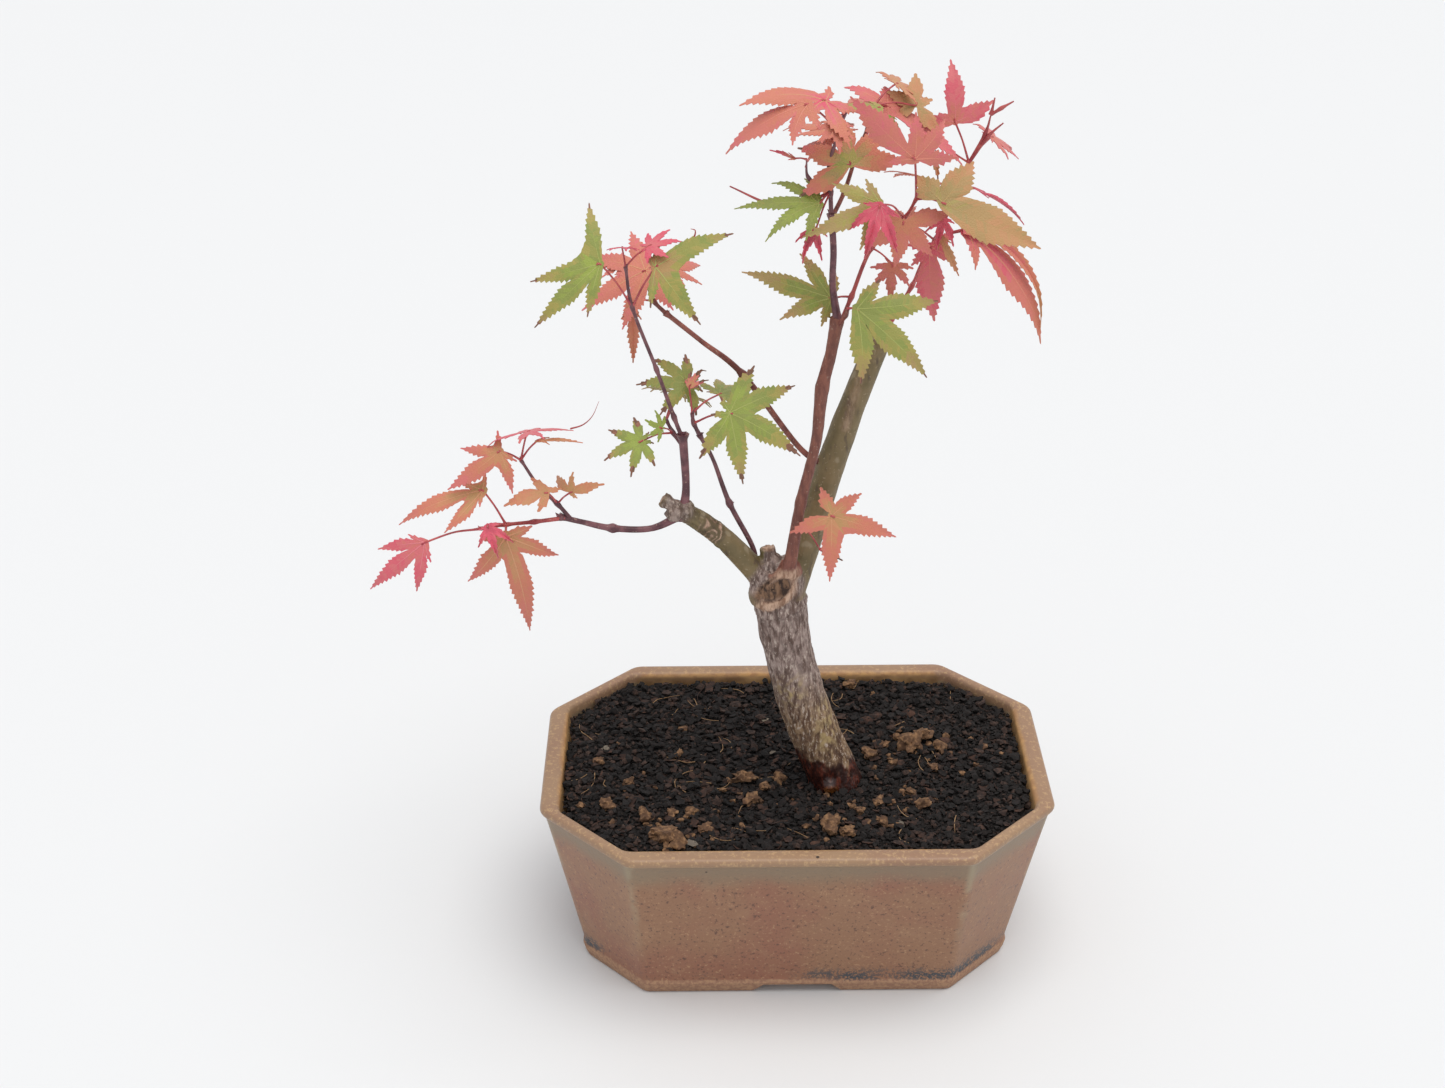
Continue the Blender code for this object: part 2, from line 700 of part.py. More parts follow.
def ball(name, spot, radius, collection, look, rounds=2):
    """A rough ball, for a callus or the swollen node of a twig."""
    bm = bmesh.new()
    place = Matrix.Translation(Vector(spot) * MM)
    bmesh.ops.create_icosphere(bm, subdivisions=rounds, radius=radius * MM, matrix=place)
    return add_mesh(name, bm, collection, look)


def make_trunk(parts):
    """The trunk: leaning, flared at the foot and cut flat just above the soil."""
    trunk = tube("trunk", smooth_path(TRUNK, 3), 14, parts, "grey_bark")
    union_with(trunk, [ball("callus", *callus, parts, "grey_bark") for callus in CALLUSES])
    bm = bmesh.new()
    bm.from_mesh(trunk.data)
    cut = bmesh.ops.bisect_plane(
        bm,
        geom=bm.verts[:] + bm.edges[:] + bm.faces[:],
        plane_co=(0, 0, (SOIL_LEVEL + GAP) * MM),
        plane_no=(0, 0, 1),
        clear_inner=True,
    )
    rim = [item for item in cut["geom_cut"] if isinstance(item, bmesh.types.BMEdge)]
    bmesh.ops.contextual_create(bm, geom=rim)
    bm.to_mesh(trunk.data)
    bm.free()
    return trunk


def drop_offcuts(obj):
    """Keeps the object's largest body, and drops what a cut has left inside a carrier."""
    bm = bmesh.new()
    bm.from_mesh(obj.data)
    bodies, seen = [], set()
    for first in bm.verts:
        if first in seen:
            continue
        body, todo = [], [first]
        seen.add(first)
        while todo:
            vert = todo.pop()
            body.append(vert)
            for edge in vert.link_edges:
                other = edge.other_vert(vert)
                if other not in seen:
                    seen.add(other)
                    todo.append(other)
        bodies.append(body)
    bodies.sort(key=len)
    offcuts = [vert for body in bodies[:-1] for vert in body]
    bmesh.ops.delete(bm, geom=offcuts, context="VERTS")
    bm.to_mesh(obj.data)
    bm.free()


def keep_clear(obj, carriers, cutters):
    """Cuts the object back to a gap's distance from each piece that carries it."""
    for carrier in carriers:
        shell = carrier.copy()
        shell.data = carrier.data.copy()
        shell.name = f"{carrier.name}_clearance"
        cutters.objects.link(shell)
        swell = shell.modifiers.new("gap", "DISPLACE")
        swell.strength = GAP * MM
        swell.mid_level = 0.0
        apply_modifiers(shell)
        cut_away(obj, shell)
        bpy.data.objects.remove(shell)
    drop_offcuts(obj)


def make_limb(name, parts, cutters):
    """A tapering limb that starts inside what carries it and is cut back to its surface."""
    spec = LIMBS[name]
    limb = tube(name, smooth_path(spec["points"], 3), spec["sides"], parts, spec["look"])
    if "stub" in spec:
        stub = tube("stub", smooth_path(spec["stub"], 1), 8, parts, spec["look"])
        union_with(limb, [stub])
    keep_clear(limb, [bpy.data.objects[one] for one in spec["carriers"]], cutters)
    return limb


def leaf_axes(blade, facing):
    """The leaf's own axes: across, along its main lobe, and the way its face looks."""
    lean = math.radians(facing)
    ahead = Vector(blade).normalized()
    face = Vector((0, -math.sin(lean), math.cos(lean)))
    face = (face - ahead * face.dot(ahead)).normalized()
    return ahead.cross(face), ahead, face


def leaf_mesh(base, blade, facing, form, thickness, rng):
    """A leaf with pointed lobes, drooping to their tips, as a closed bmesh."""
    across, ahead, face = leaf_axes(blade, facing)
    size = Vector(blade).length
    spread, half_width, lengths = LEAF_FORMS[form]
    lobes = [(angle * spread, long) for angle, long in zip(LOBE_ANGLES, lengths) if long]
    bm = bmesh.new()

    def corner(angle, reach, side=0.0):
        turn = math.radians(angle)
        x = math.sin(turn) * reach + math.cos(turn) * side
        y = math.cos(turn) * reach - math.sin(turn) * side
        drop = LEAF_DROOP * (x * x + y * y)
        spot = base + (across * x + ahead * y - face * drop) * size
        return bm.verts.new(spot * MM)

    heart = corner(0, 0)
    back = corner(180, LEAF_HEEL)
    first, last = lobes[0][0], lobes[-1][0]
    sinuses = [corner((first - 180) / 2, LEAF_HEEL)]
    for (low, short), (high, long) in zip(lobes, lobes[1:]):
        sinuses.append(corner((low + high) / 2, SINUS[0] * min(short, long) + SINUS[1]))
    sinuses.append(corner((last + 180) / 2, LEAF_HEEL))
    room = 0.85 * math.tan(math.radians(LOBE_ANGLES[-3] * spread / 2))
    for i, (angle, length) in enumerate(lobes):
        bend = angle + rng.uniform(-LOBE_STRAY, LOBE_STRAY) * spread
        widest = LOBE_WIDEST * length
        half = min(half_width * (0.5 + 0.5 * length), room * widest)
        left = corner(bend, widest, -half)
        right = corner(bend, widest, half)
        tip = corner(bend, length)
        bm.faces.new((heart, sinuses[i + 1], sinuses[i]))
        bm.faces.new((sinuses[i], sinuses[i + 1], right, left))
        bm.faces.new((left, right, tip))
    bm.faces.new((heart, sinuses[0], back))
    bm.faces.new((heart, back, sinuses[-1]))
    bmesh.ops.recalc_face_normals(bm, faces=bm.faces[:])
    bmesh.ops.solidify(bm, geom=bm.faces[:], thickness=thickness * MM)
    bmesh.ops.triangulate(bm, faces=bm.faces[:])
    return bm


def in_space(bm, space):
    """Whether every corner lies in the mass's own space, an ellipsoid (middle, reach)."""
    middle, reach = space
    for vert in bm.verts:
        parts = ((vert.co[i] / MM - middle[i]) / reach[i] for i in range(3))
        if sum(part * part for part in parts) > 1:
            return False
    return True


def tree_of(obj):
    """The object's surface, for testing what touches it."""
    bm = bmesh.new()
    bm.from_mesh(obj.data)
    tree = BVHTree.FromBMesh(bm)
    bm.free()
    return tree


def stalk_path(start, stalk, blade):
    """A leaf stalk from its node to just inside the leaf, bowed a little upwards."""
    end = start + stalk
    middle = start + stalk * 0.5 + Vector((0, 0, 0.06 * stalk.length))
    sunk = end + blade.normalized() * STALK_SINK
    return [(spot * MM, STALK_RADIUS * MM) for spot in (start, middle, end, sunk)]


def fill_rows(stem, count, rng):
    """Leaf rows that the rule sets on the stem's upper nodes, heading back from the front."""
    nodes = len(stem) - 1
    low, high = FILL_HEADINGS
    rows = []
    for i in range(count):
        heading = math.radians(low + (high - low) * (i + rng.uniform(0.2, 0.8)) / count)
        rise = math.radians(rng.uniform(*FILL_RISE))
        out = Vector((math.cos(heading), math.sin(heading), 0))
        stalk = (out * math.cos(rise) + Vector((0, 0, math.sin(rise)))) * rng.uniform(*FILL_STALK)
        blade = (out + Vector((0, 0, rng.uniform(-0.4, 0.1)))).normalized() * rng.uniform(*FILL_BLADE)
        rows.append((nodes - i % nodes, stalk, blade, FILL_FACING, "hand"))
    return rows


def make_mass(name, parts, cutters, taken):
    """A mass of foliage, one closed body: stem, side shoots, stalks and leaves."""
    spec = MASSES[name]
    rng = random.Random(name)
    stem = spec["stem"]
    shares = [i / (len(stem) - 1) for i in range(len(stem))]
    thick, thin = SHOOT_RADII
    path = [(spot, thick + (thin - thick) * share) for spot, share in zip(stem, shares)]
    mass = tube(name, smooth_path(path, 2), SHOOT_SIDES, parts, spec["look"])
    keep_clear(mass, [bpy.data.objects[one] for one in spec["carriers"]], cutters)
    pieces = []
    tips = {}
    for shoot, (node, *spots) in spec.get("shoots", {}).items():
        start = tips[node] if node in tips else stem[node]
        run = [(start, thin), *((spot, 0.8 * thin) for spot in spots)]
        pieces.append(tube(shoot, smooth_path(run, 2), 4, parts, spec["look"]))
        tips[shoot] = spots[-1]
    nodes = []
    rows = [*spec["leaves"], *fill_rows(stem, spec["fill"], rng)]
    for i, (node, stalk, blade, facing, form) in enumerate(rows):
        start = Vector(tips[node] if node in tips else stem[node])
        stalk, blade = Vector(stalk), Vector(blade)
        state = rng.getstate()
        fat = leaf_mesh(start + stalk, blade, facing, form, LEAF_THICKNESS + 2 * GAP, rng)
        clear = in_space(fat, spec["space"])
        tree = BVHTree.FromBMesh(fat)
        fat.free()
        petiole = tube(f"stalk_{i}", stalk_path(start, stalk, blade), 4, parts, spec["look"])
        held = tree_of(petiole)
        touches = any(tree.overlap(other) or held.overlap(other) for other in taken)
        if touches or not clear:
            bpy.data.objects.remove(petiole)
            continue
        nodes.append(start)
        rng.setstate(state)
        body = leaf_mesh(start + stalk, blade, facing, form, LEAF_THICKNESS, rng)
        pieces += [petiole, add_mesh(f"leaf_{i}", body, parts, spec["look"])]
    for start in sorted({tuple(start) for start in nodes}):
        pieces.append(ball("node", start, NODE_RADIUS, parts, spec["look"], 1))
    union_with(mass, pieces)
    taken.append(tree_of(mass))
    return mass


def stand_on_origin(parts):
    """Moves all so that the middle of the bounding box's floor is the origin."""
    corners = [obj.matrix_world @ vert.co for obj in parts.objects for vert in obj.data.vertices]
    low = Vector([min(corner[i] for corner in corners) for i in range(3)])
    high = Vector([max(corner[i] for corner in corners) for i in range(3)])
    stand = bpy.data.objects.new(NAME, None)
    for obj in list(parts.objects):
        obj.parent = stand
    parts.objects.link(stand)
    stand.location = (-(low.x + high.x) / 2, -(low.y + high.y) / 2, -low.z)


def main():
    for obj in list(bpy.data.objects):
        bpy.data.objects.remove(obj)
    scene = bpy.context.scene
    parts = bpy.data.collections.new(NAME)
    cutters = bpy.data.collections.new("cutters")
    for collection in (parts, cutters):
        scene.collection.children.link(collection)
    make_pot(parts, cutters)
    make_soil(parts)
    make_trunk(parts)
    for name in LIMBS:
        make_limb(name, parts, cutters)
    taken = [tree_of(obj) for obj in parts.objects]
    for name in MASSES:
        make_mass(name, parts, cutters, taken)
    for cutter in cutters.objects:
        cutter.hide_render = True
        cutter.display_type = "WIRE"
    cutters.hide_render = True
    stand_on_origin(parts)


main()
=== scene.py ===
"""The looks of a small maple bonsai in its glazed pot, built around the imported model.

Places in this file are millimetres from the middle of the pot's underside, as in the model's own
source: X to the right, Y to the back, Z up. place() turns them into the frame's metres.
"""

import math
import random
from functools import partial

import bmesh
import bpy
from mathutils import Euler, Matrix, Vector, noise
from mathutils.bvhtree import BVHTree
from mathutils.kdtree import KDTree


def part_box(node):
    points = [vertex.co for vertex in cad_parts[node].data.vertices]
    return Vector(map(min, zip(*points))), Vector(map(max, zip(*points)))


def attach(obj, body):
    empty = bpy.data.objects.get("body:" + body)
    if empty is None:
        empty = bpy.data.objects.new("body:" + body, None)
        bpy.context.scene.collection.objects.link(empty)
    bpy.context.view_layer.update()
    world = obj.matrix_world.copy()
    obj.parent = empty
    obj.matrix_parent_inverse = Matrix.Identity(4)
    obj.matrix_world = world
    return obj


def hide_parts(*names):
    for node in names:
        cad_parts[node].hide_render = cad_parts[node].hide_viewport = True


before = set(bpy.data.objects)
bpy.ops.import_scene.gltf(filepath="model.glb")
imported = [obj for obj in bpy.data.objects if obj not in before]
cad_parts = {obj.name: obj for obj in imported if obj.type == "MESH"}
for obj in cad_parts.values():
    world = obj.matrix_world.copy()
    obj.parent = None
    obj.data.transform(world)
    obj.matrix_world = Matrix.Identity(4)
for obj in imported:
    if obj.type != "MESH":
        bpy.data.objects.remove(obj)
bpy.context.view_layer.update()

MM = 0.001
pot_low, pot_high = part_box("pot")
HOME = Vector(((pot_low.x + pot_high.x) / 2, (pot_low.y + pot_high.y) / 2, pot_low.z))

# The camera, from the pot's outline in the photograph, which is 1445 pixels wide.
CAMERA_PLACE = (-35.3, -702.1, 550.3)
CAMERA_TURN = (61.703, 0.121, -0.616)  # degrees: its tilt up from straight down, its roll, its turn
SENSOR_WIDTH = 36.0
FOCAL_PIXELS = 2100.0
IMAGE_WIDTH = 1445.0

# The light: a pale sky all round, and a wide soft lamp above, a little to the right.
SKY_STRENGTH = 0.72
LAMP_STRENGTH = 1.85
LAMP_SPREAD = 50.0
LAMP_FROM = (0.16, -0.12, 1.0)

# The pot: length, width and cut corner of its outline, as in the model.
POT_HEIGHT = 76.0
RIM = (200.0, 140.0, 35.0)
BASE = (168.0, 108.0, 24.0)
RIM_WIDTH = 8.0
RIM_BAND = 4.0
WALL = 9.0
FOOT_BAND = 5.5
FLOOR_TOP = 12.0
FOOT_HEIGHT = 4.5
FOOT_RING = 12.0
FRONT_ARCH = (38.0, 27.0)
SIDE_ARCH = (26.0, 18.0)
DRAIN_RADIUS = 7.0
DRAIN_PLACES = (-38.0, 38.0)
SOIL_LEVEL = 70.0

# The wood: points along the middle, each with the radius there.
TRUNK = (
    ((16.6, -8.5, 64.0), 11.8),
    ((16.0, -8.5, 68.0), 11.2),
    ((14.2, -8.5, 75.0), 10.2),
    ((10.8, -8.5, 84.0), 9.9),
    ((2.5, -8.5, 107.0), 9.7),
    ((-3.3, -8.5, 130.0), 9.3),
    ((-6.8, -8.5, 152.0), 10.1),
    ((-8.2, -8.5, 162.0), 10.4),
    ((-9.0, -8.5, 168.0), 7.8),
)
BOUGH_LEFT = (
    ((-9.0, -9.0, 158.0), 4.8),
    ((-16.0, -10.0, 166.0), 4.6),
    ((-29.5, -14.0, 183.5), 4.0),
    ((-45.0, -18.0, 197.5), 3.6),
)
BOUGH_RIGHT = (
    ((-3.0, -7.0, 158.0), 6.4),
    ((1.0, -5.5, 170.0), 6.0),
    ((6.0, -3.0, 186.0), 5.6),
    ((10.8, 0.0, 202.0), 5.4),
    ((16.0, 2.0, 218.0), 5.2),
    ((19.8, 3.0, 229.5), 4.9),
    ((28.5, 5.0, 253.5), 4.4),
)
BOUGH_FRONT = (
    ((-5.0, -14.0, 160.0), 3.0),
    ((-3.5, -16.5, 173.0), 2.5),
    ((0.2, -17.0, 199.0), 2.1),
    ((5.2, -16.5, 223.0), 2.0),
    ((7.0, -15.5, 243.0), 2.5),
    ((10.0, -14.0, 257.0), 2.1),
    ((12.0, -14.0, 270.0), 2.6),
)
# Limbs with smooth young bark: their points, the numbers of the points that are nodes, the look.
LIMBS = {
    "limb_low": (
        (
            ((-44.0, -18.0, 194.0), 2.1),
            ((-55.0, -19.5, 189.5), 1.4),
            ((-69.0, -22.0, 191.0), 1.5),
            ((-80.0, -24.5, 195.0), 1.2),
            ((-88.0, -26.0, 198.0), 1.3),
        ),
        (0, 2, 4),
        "purple_bark",
    ),
    "limb_middle": (
        (
            ((-43.0, -18.0, 196.0), 2.3),
            ((-42.0, -17.5, 206.0), 1.7),
            ((-43.0, -16.0, 226.0), 2.0),
        ),
        (0, 2),
        "purple_bark",
    ),
    "limb_inner": (
        (
            ((-16.0, -9.0, 167.0), 1.4),
            ((-17.5, -6.5, 175.0), 1.2),
            ((-26.0, -8.5, 194.0), 1.2),
            ((-32.0, -10.5, 213.0), 0.9),
            ((-37.0, -12.0, 224.0), 1.0),
        ),
        (2, 4),
        "purple_bark",
    ),
    "limb_back": (
        (
            ((11.0, -0.5, 205.0), 1.6),
            ((0.0, 0.5, 212.5), 1.3),
            ((-21.0, 3.0, 241.0), 1.4),
            ((-36.0, 3.5, 254.0), 1.1),
            ((-49.0, 4.0, 265.0), 1.1),
        ),
        (2, 4),
        "red_bark",
    ),
    "limb_crown": (
        (
            ((12.0, -14.0, 269.0), 1.9),
            ((10.0, -14.0, 282.0), 1.4),
            ((10.0, -14.0, 295.0), 1.4),
            ((9.0, -13.0, 308.0), 1.4),
        ),
        (0, 3),
        "purple_bark",
    ),
}

# The foliage. A stem and its side shoots are points along their middle. A leaf is its node's number
# on the stem (or the name of a side shoot, for its tip), its stalk and its main lobe as vectors,
# how far its face leans to the front in degrees, its form, and its autumn tints: places on the
# scale of LEAF_TINTS for its heart, its blade and its margin, and the share of each tip that is dry.
MASSES = {
    "foliage_low_outer": {
        "stem": ((-86, -26, 197.5), (-97, -28, 197), (-107, -30, 197), (-116, -33, 197)),
        "bark": "young_shoot",
        "leaves": (
            (3, (-20, -3, -4), (-21, -6, -17), 60, "pointed", (8.8, 9.6, 9.2, 0)),
            (2, (-6, -6, 3), (4, -6, -10), 40, "bunch", (10, 9.8, 9.6, 0)),
            (2, (0, -4, -3), (8, -3, -41), 65, "slender", (4.8, 6.4, 8, 0)),
            (2, (-8, 2, 13), (-32, -4, -7), 40, "slant", (4, 5.6, 8, 0)),
        ),
        "fill": 0,
        "tints": (6, 8),
    },
    "foliage_low_inner": {
        "stem": ((-84, -25.5, 197), (-88.5, -25.5, 203), (-95, -25, 210), (-101, -24, 220)),
        "bark": "purple_bark",
        "leaves": (
            (3, (-7, -3, 5), (-20, -5, -12), 55, "mitten", (5, 6.6, 8.6, 0)),
            (3, (3, -2, 12), (16, 2, 2), -14, "flat", (9, 9.4, 9, 0)),
            (3, (6.5, -3, 9), (16, 1, 1), 0, "slim", (4, 4.6, 6, 0)),
            (1, (-3, -5, 7), (-15, -5, 0.5), 45, "plume", (4.6, 5.4, 6, 0)),
            (1, (5, -3, 6), (11, -5, 6), 45, "trio", (4, 4.8, 5.6, 0)),
        ),
        "fill": 0,
        "tints": (5, 8),
    },
    "foliage_upper_left": {
        "stem": (
            (-43, -16, 224),
            (-46, -16.5, 233),
            (-52, -17, 252),
            (-60, -18, 276),
            (-62, -18, 291),
        ),
        "bark": "purple_bark",
        "leaves": (
            (3, (-10.5, -4, 17.5), (-24, -4, -5), 60, "corner", (0.6, 0.6, 2.6, 0.06)),
            (3, (8.5, -2, 15.5), (24.5, -5, 15.5), 35, "clasp", (3.4, 0.6, 2.2, 0.08)),
            (4, (8, 4, 6), (11, -2, 4), 20, "star", (9, 9.4, 9.8, 0)),
            (4, (-1, 0, 7), (2, -7, 3), -24, "star", (10, 10, 10, 0)),
        ),
        "fill": 0,
        "tints": (0, 3),
    },
    "foliage_upper_back": {
        "stem": ((-48, 4, 264), (-53, 4, 269.5), (-55, 5, 275)),
        "bark": "red_bark",
        "leaves": (
            (2, (-1, 2, 5), (-24, -8, -8), 40, "star", (7, 7, 8.4, 0)),
            (1, (-8, -6, 2), (0, -4, -23), 60, "slim", (6.4, 5.8, 6.4, 0)),
            (2, (-9, 7, 6), (-12, 2, -1), 20, "hand", (7, 7.4, 8.6, 0)),
        ),
        "fill": 2,
        "tints": (6, 8),
    },
    "foliage_middle_left": {
        "stem": ((-43, -15.5, 221), (-46.5, -12.5, 225), (-49, -10, 229)),
        "bark": "purple_bark",
        "leaves": (
            (2, (8, 8, 11), (-18, -5, 2), 40, "star", (1.2, 1, 1.8, 0.14)),
            (1, (-11, -11, 2), (-14, -4, -4), 45, "star", (0, 0, 2.4, 0.16)),
            (1, (-4, -9, 6), (-5, -3, 5), 45, "star", (0, 0, 0.6, 0)),
        ),
        "fill": 1,
        "tints": (1, 4),
    },
    "foliage_middle_right": {
        "stem": ((-36.5, -12, 223), (-39, -13, 229), (-39.5, -13, 233)),
        "bark": "purple_bark",
        "leaves": (
            (1, (13, -9, 8), (25, -10, -10), 60, "star", (0.4, 0.3, 2.8, 0.1)),
            (2, (-1, 5, 8), (6, 7, 6), 30, "closed", (5, 6, 12, 0.3)),
            (2, (10, 12, 2), (13, 17, -3), 20, "hand", (1, 1, 3, 0.1)),
        ),
        "fill": 0,
        "tints": (1, 4),
    },
    "foliage_fork": {
        "stem": ((-2, -16.5, 185), (1.5, -19, 189), (3, -20, 191)),
        "bark": "red_bark",
        "leaves": (
            (2, (8, -5, 6), (23, -5, -9), 60, "kite", (4.4, 7, 7.8, 0)),
            (1, (6, 2, -10), (9, -1, -4), 30, "slim", (11, 11, 12, 0.3)),
        ),
        "fill": 0,
        "tints": (6, 8),
    },
    "foliage_crown_left": {
        "stem": (
            (9, -13, 307),
            (8.5, -13.5, 316),
            (8, -13, 326),
            (11, -12, 336),
            (13, -11, 343),
        ),
        "bark": "purple_bark",
        "shoots": {
            "spur": (1, (1, -14, 321), (0, -15, 328)),
            "bare": (1, (-2, -16, 312), (-12, -17.5, 313), (-26, -19, 320)),
        },
        "leaves": (
            (1, (-4, -4, -3), (-28, -5, 4), 40, "thin", (0.4, 0.2, 1, 0)),
            (1, (-5, -6, -11), (-5, -6, -9), 40, "bunch", (11, 11.3, 9.6, 0)),
            ("spur", (-4, -2, 1), (-8, -2, 4), 30, "slim", (4, 9.6, 10, 0)),
            (2, (7, -2, 0), (-5, 9, 16), 60, "palm", (2, 4.6, 8.6, 0.06)),
            (3, (-5, -2, 12), (-28, -6, 5), 30, "tongue", (9.6, 6.8, 7.2, 0)),
            (3, (-11, -6, 12), (-28, -7, -12), 35, "drape", (6.6, 8, 8.2, 0)),
            (4, (-4, -9, -1), (1, -8, -7), 50, "hand", (5.4, 7.2, 8, 0)),
        ),
        "fill": 0,
        "tints": (6, 8),
    },
    "foliage_crown_low": {
        "stem": ((12, -15, 267), (14.5, -19, 273), (15, -20.5, 276)),
        "bark": "red_bark",
        "leaves": ((2, (3, -3, 1), (26, -11, -19), 55, "half", (0.7, 0.9, 2.8, 0.03)),),
        "fill": 0,
        "tints": (1, 3),
    },
    "foliage_crown_middle": {
        "stem": ((13, -13, 267), (17, -9.5, 276), (24, -6, 293), (35, -4, 303), (39, -4, 310)),
        "bark": "young_shoot",
        "leaves": (
            (1, (-7, 1, -1), (-30, -1, 12), 45, "long", (0.8, 1, 3.6, 0)),
            (2, (0, -22, 24), (-25, -8, -8), 60, "long", (2, 2.4, 3.2, 0)),
            (3, (-11, -29, 15), (-5, -5, -18), 60, "bunch", (10, 10, 9.8, 0)),
            (4, (-3, -18, 20), (-22, 2, 20), 75, "fan", (7.8, 8.2, 8.6, 0)),
            (4, (8, -10, 2), (35, -8, -10), 56, "wing", (3, 3.4, 4.4, 0)),
            (3, (-1, -9, 2), (-2, -5, -15), 60, "palm", (6, 7.2, 8, 0)),
            (2, (7, -3, -5), (-1, -5, -12), 50, "hand", (6.8, 7.8, 8.4, 0)),
        ),
        "fill": 1,
        "tints": (2, 7),
    },
    "foliage_crown_right": {
        "stem": (
            (28, 5, 250),
            (33, 6, 261),
            (40, 8, 273),
            (48, 12, 289),
            (55, 14, 305),
            (59, 14, 317),
        ),
        "bark": "young_shoot",
        "shoots": {
            "tip": (5, (64, 13, 328), (65.5, 12, 335)),
            "tip_up": ("tip", (66.5, 12, 341)),
            "tip_side": ("tip", (69, 11.5, 337.5), (73, 11, 340)),
            "tip_low": (5, (65, 12.5, 327), (70, 12, 332)),
        },
        "leaves": (
            (3, (11, -4, 5), (33, -14, -33), 35, "sickle", (9.6, 8.4, 7.2, 0)),
            (3, (11, -5, 6), (32, -13, -28), 35, "strip", (9.6, 8, 4.6, 0)),
            (2, (5, -8, 18), (5, -8, -25), 50, "drop", (9.4, 8.6, 9, 0)),
            (3, (0, -14, 7), (7, -6, -13), 50, "slim", (5, 4.4, 5.6, 0)),
            (3, (1, -13, 13), (-3, -6, -9), 30, "bunch", (10.6, 10.6, 10, 0)),
            (4, (6, -4, 4), (19, -6, -8), -10, "slim", (10.6, 10.6, 11, 0)),
            (5, (-5.5, 1, 14.5), (-3.6, 6, 20.5), 70, "crest", (8.2, 9.3, 9, 0)),
            (5, (-14, 10, 4), (5, -5, -12), 40, "slim", (3, 4.4, 5, 0.1)),
        ),
        "fill": 3,
        "tints": (6, 9),
    },
    "foliage_crown_top": {
        "stem": ((9.5, -12, 306.5), (14, -6, 314), (18, -1, 325), (22, 2, 334), (24, 4, 341)),
        "bark": "red_bark",
        "leaves": (
            (4, (5, 5, -2), (28, -8, -15), 20, "sash", (8, 8.4, 9, 0)),
            (3, (2, -4, 4), (1, -4, -8), 30, "bunch", (10, 9.8, 9, 0)),
            (3, (4, -1, 7), (-15, -4, 1), 30, "drape", (1.6, 2.2, 3, 0)),
            (3, (6, -4, 5), (3, -4, -8), 40, "closed", (0.4, 0.8, 2, 0)),
            (4, (15, 6, -2), (1, 8, 10), 60, "broad", (3.2, 4.2, 4.8, 0)),
            (2, (-4, 9, 6), (-20, 12, 2), 0, "hand", (6, 6.6, 7.4, 0)),
        ),
        "fill": 3,
        "tints": (5, 8),
    },
}

# A leaf: the angles of its lobes from the main one, and for each form how far they are spread, half
# a lobe's width and the lobes' lengths, all as shares of the main lobe's length.
LOBE_ANGLES = (-118, -76, -38, 0, 38, 76, 118)
LEAF_FORMS = {
    "star": (1.25, 0.14, (0, 0.68, 0.88, 1.0, 0.88, 0.68, 0)),
    "hand": (1.05, 0.15, (0, 0.6, 0.78, 1.0, 0.78, 0.6, 0)),
    "half": (1.25, 0.14, (0, 0.4, 0.88, 1.0, 0.75, 0, 0)),
    "kite": (1.7, 0.14, (0, 0.45, 0.55, 1.0, 0.95, 0.65, 0)),
    "long": (1.15, 0.12, (0, 0.34, 0.62, 1.0, 0.62, 0.34, 0)),
    "thin": (0.9, 0.09, (0, 0.5, 0.8, 1.0, 0.62, 0.4, 0)),
    "wing": (2.1, 0.19, (0, 0.36, 0.5, 1.0, 0, 0, 0)),
    "corner": (0.8, 0.12, (0, 0.75, 1.25, 1.0, 0, 0, 0.9)),
    "clasp": (0.96, 0.15, (0.3, 0.35, 0, 1.0, 0, 0.95, 0.5)),
    "slender": (1.3, 0.1, (0, 0.25, 0.5, 1.0, 0.55, 0.22, 0)),
    "pointed": (0.9, 0.11, (0, 0.27, 0.66, 1.0, 0.64, 0.25, 0)),
    "mitten": (0.95, 0.17, (0.3, 0.66, 0, 1.0, 0.62, 0, 0.32)),
    "flat": (1.45, 0.14, (0.95, 0.6, 0.55, 1.0, 0.6, 0.6, 0)),
    "plume": (1.4, 0.2, (0, 0, 0.5, 1.0, 0.52, 0, 0.35)),
    "trio": (1.08, 0.17, (0.9, 0.6, 0, 1.0, 0.3, 0, 0)),
    "slant": (0.9, 0.1, (0, 0.2, 0.62, 1.0, 0.28, 0, 0.22)),
    "tongue": (1.45, 0.13, (0.42, 0.65, 0.35, 1.0, 0, 0.26, 0)),
    "drape": (1.1, 0.14, (0, 0.35, 0.5, 1.0, 0.3, 0, 0)),
    "palm": (1.35, 0.2, (0, 1.05, 1.0, 1.0, 0.95, 1.0, 0)),
    "fan": (1.2, 0.16, (0, 0, 0.3, 1.0, 0.52, 0.56, 0.5)),
    "sash": (1.5, 0.13, (0.5, 0.35, 0.4, 1.0, 0.35, 0.3, 0)),
    "broad": (1.7, 0.22, (0, 0.6, 0.9, 1.0, 0.5, 1.0, 0)),
    "crest": (1.8, 0.17, (0, 0, 0.45, 1.0, 0.72, 0, 0)),
    "bunch": (1.0, 0.15, (0, 0.4, 0.9, 1.0, 0.7, 0.3, 0)),
    "drop": (1.4, 0.2, (0, 0.35, 0.4, 1.0, 0.35, 0.3, 0)),
    "sickle": (0.9, 0.1, (0, 0, 0.3, 1.0, 0.3, 0, 0)),
    "strip": (0.8, 0.06, (0, 0, 0, 1.0, 0, 0, 0)),
    "closed": (0.75, 0.13, (0, 0.4, 0.72, 1.0, 0.72, 0.4, 0)),
    "slim": (0.8, 0.12, (0, 0, 0.32, 1.0, 0.32, 0, 0)),
}
BASAL_LOBES = {"star": 0.3, "hand": 0.26}  # small lobes beside the stalk, by their length
LOBE_WIDEST = 0.5
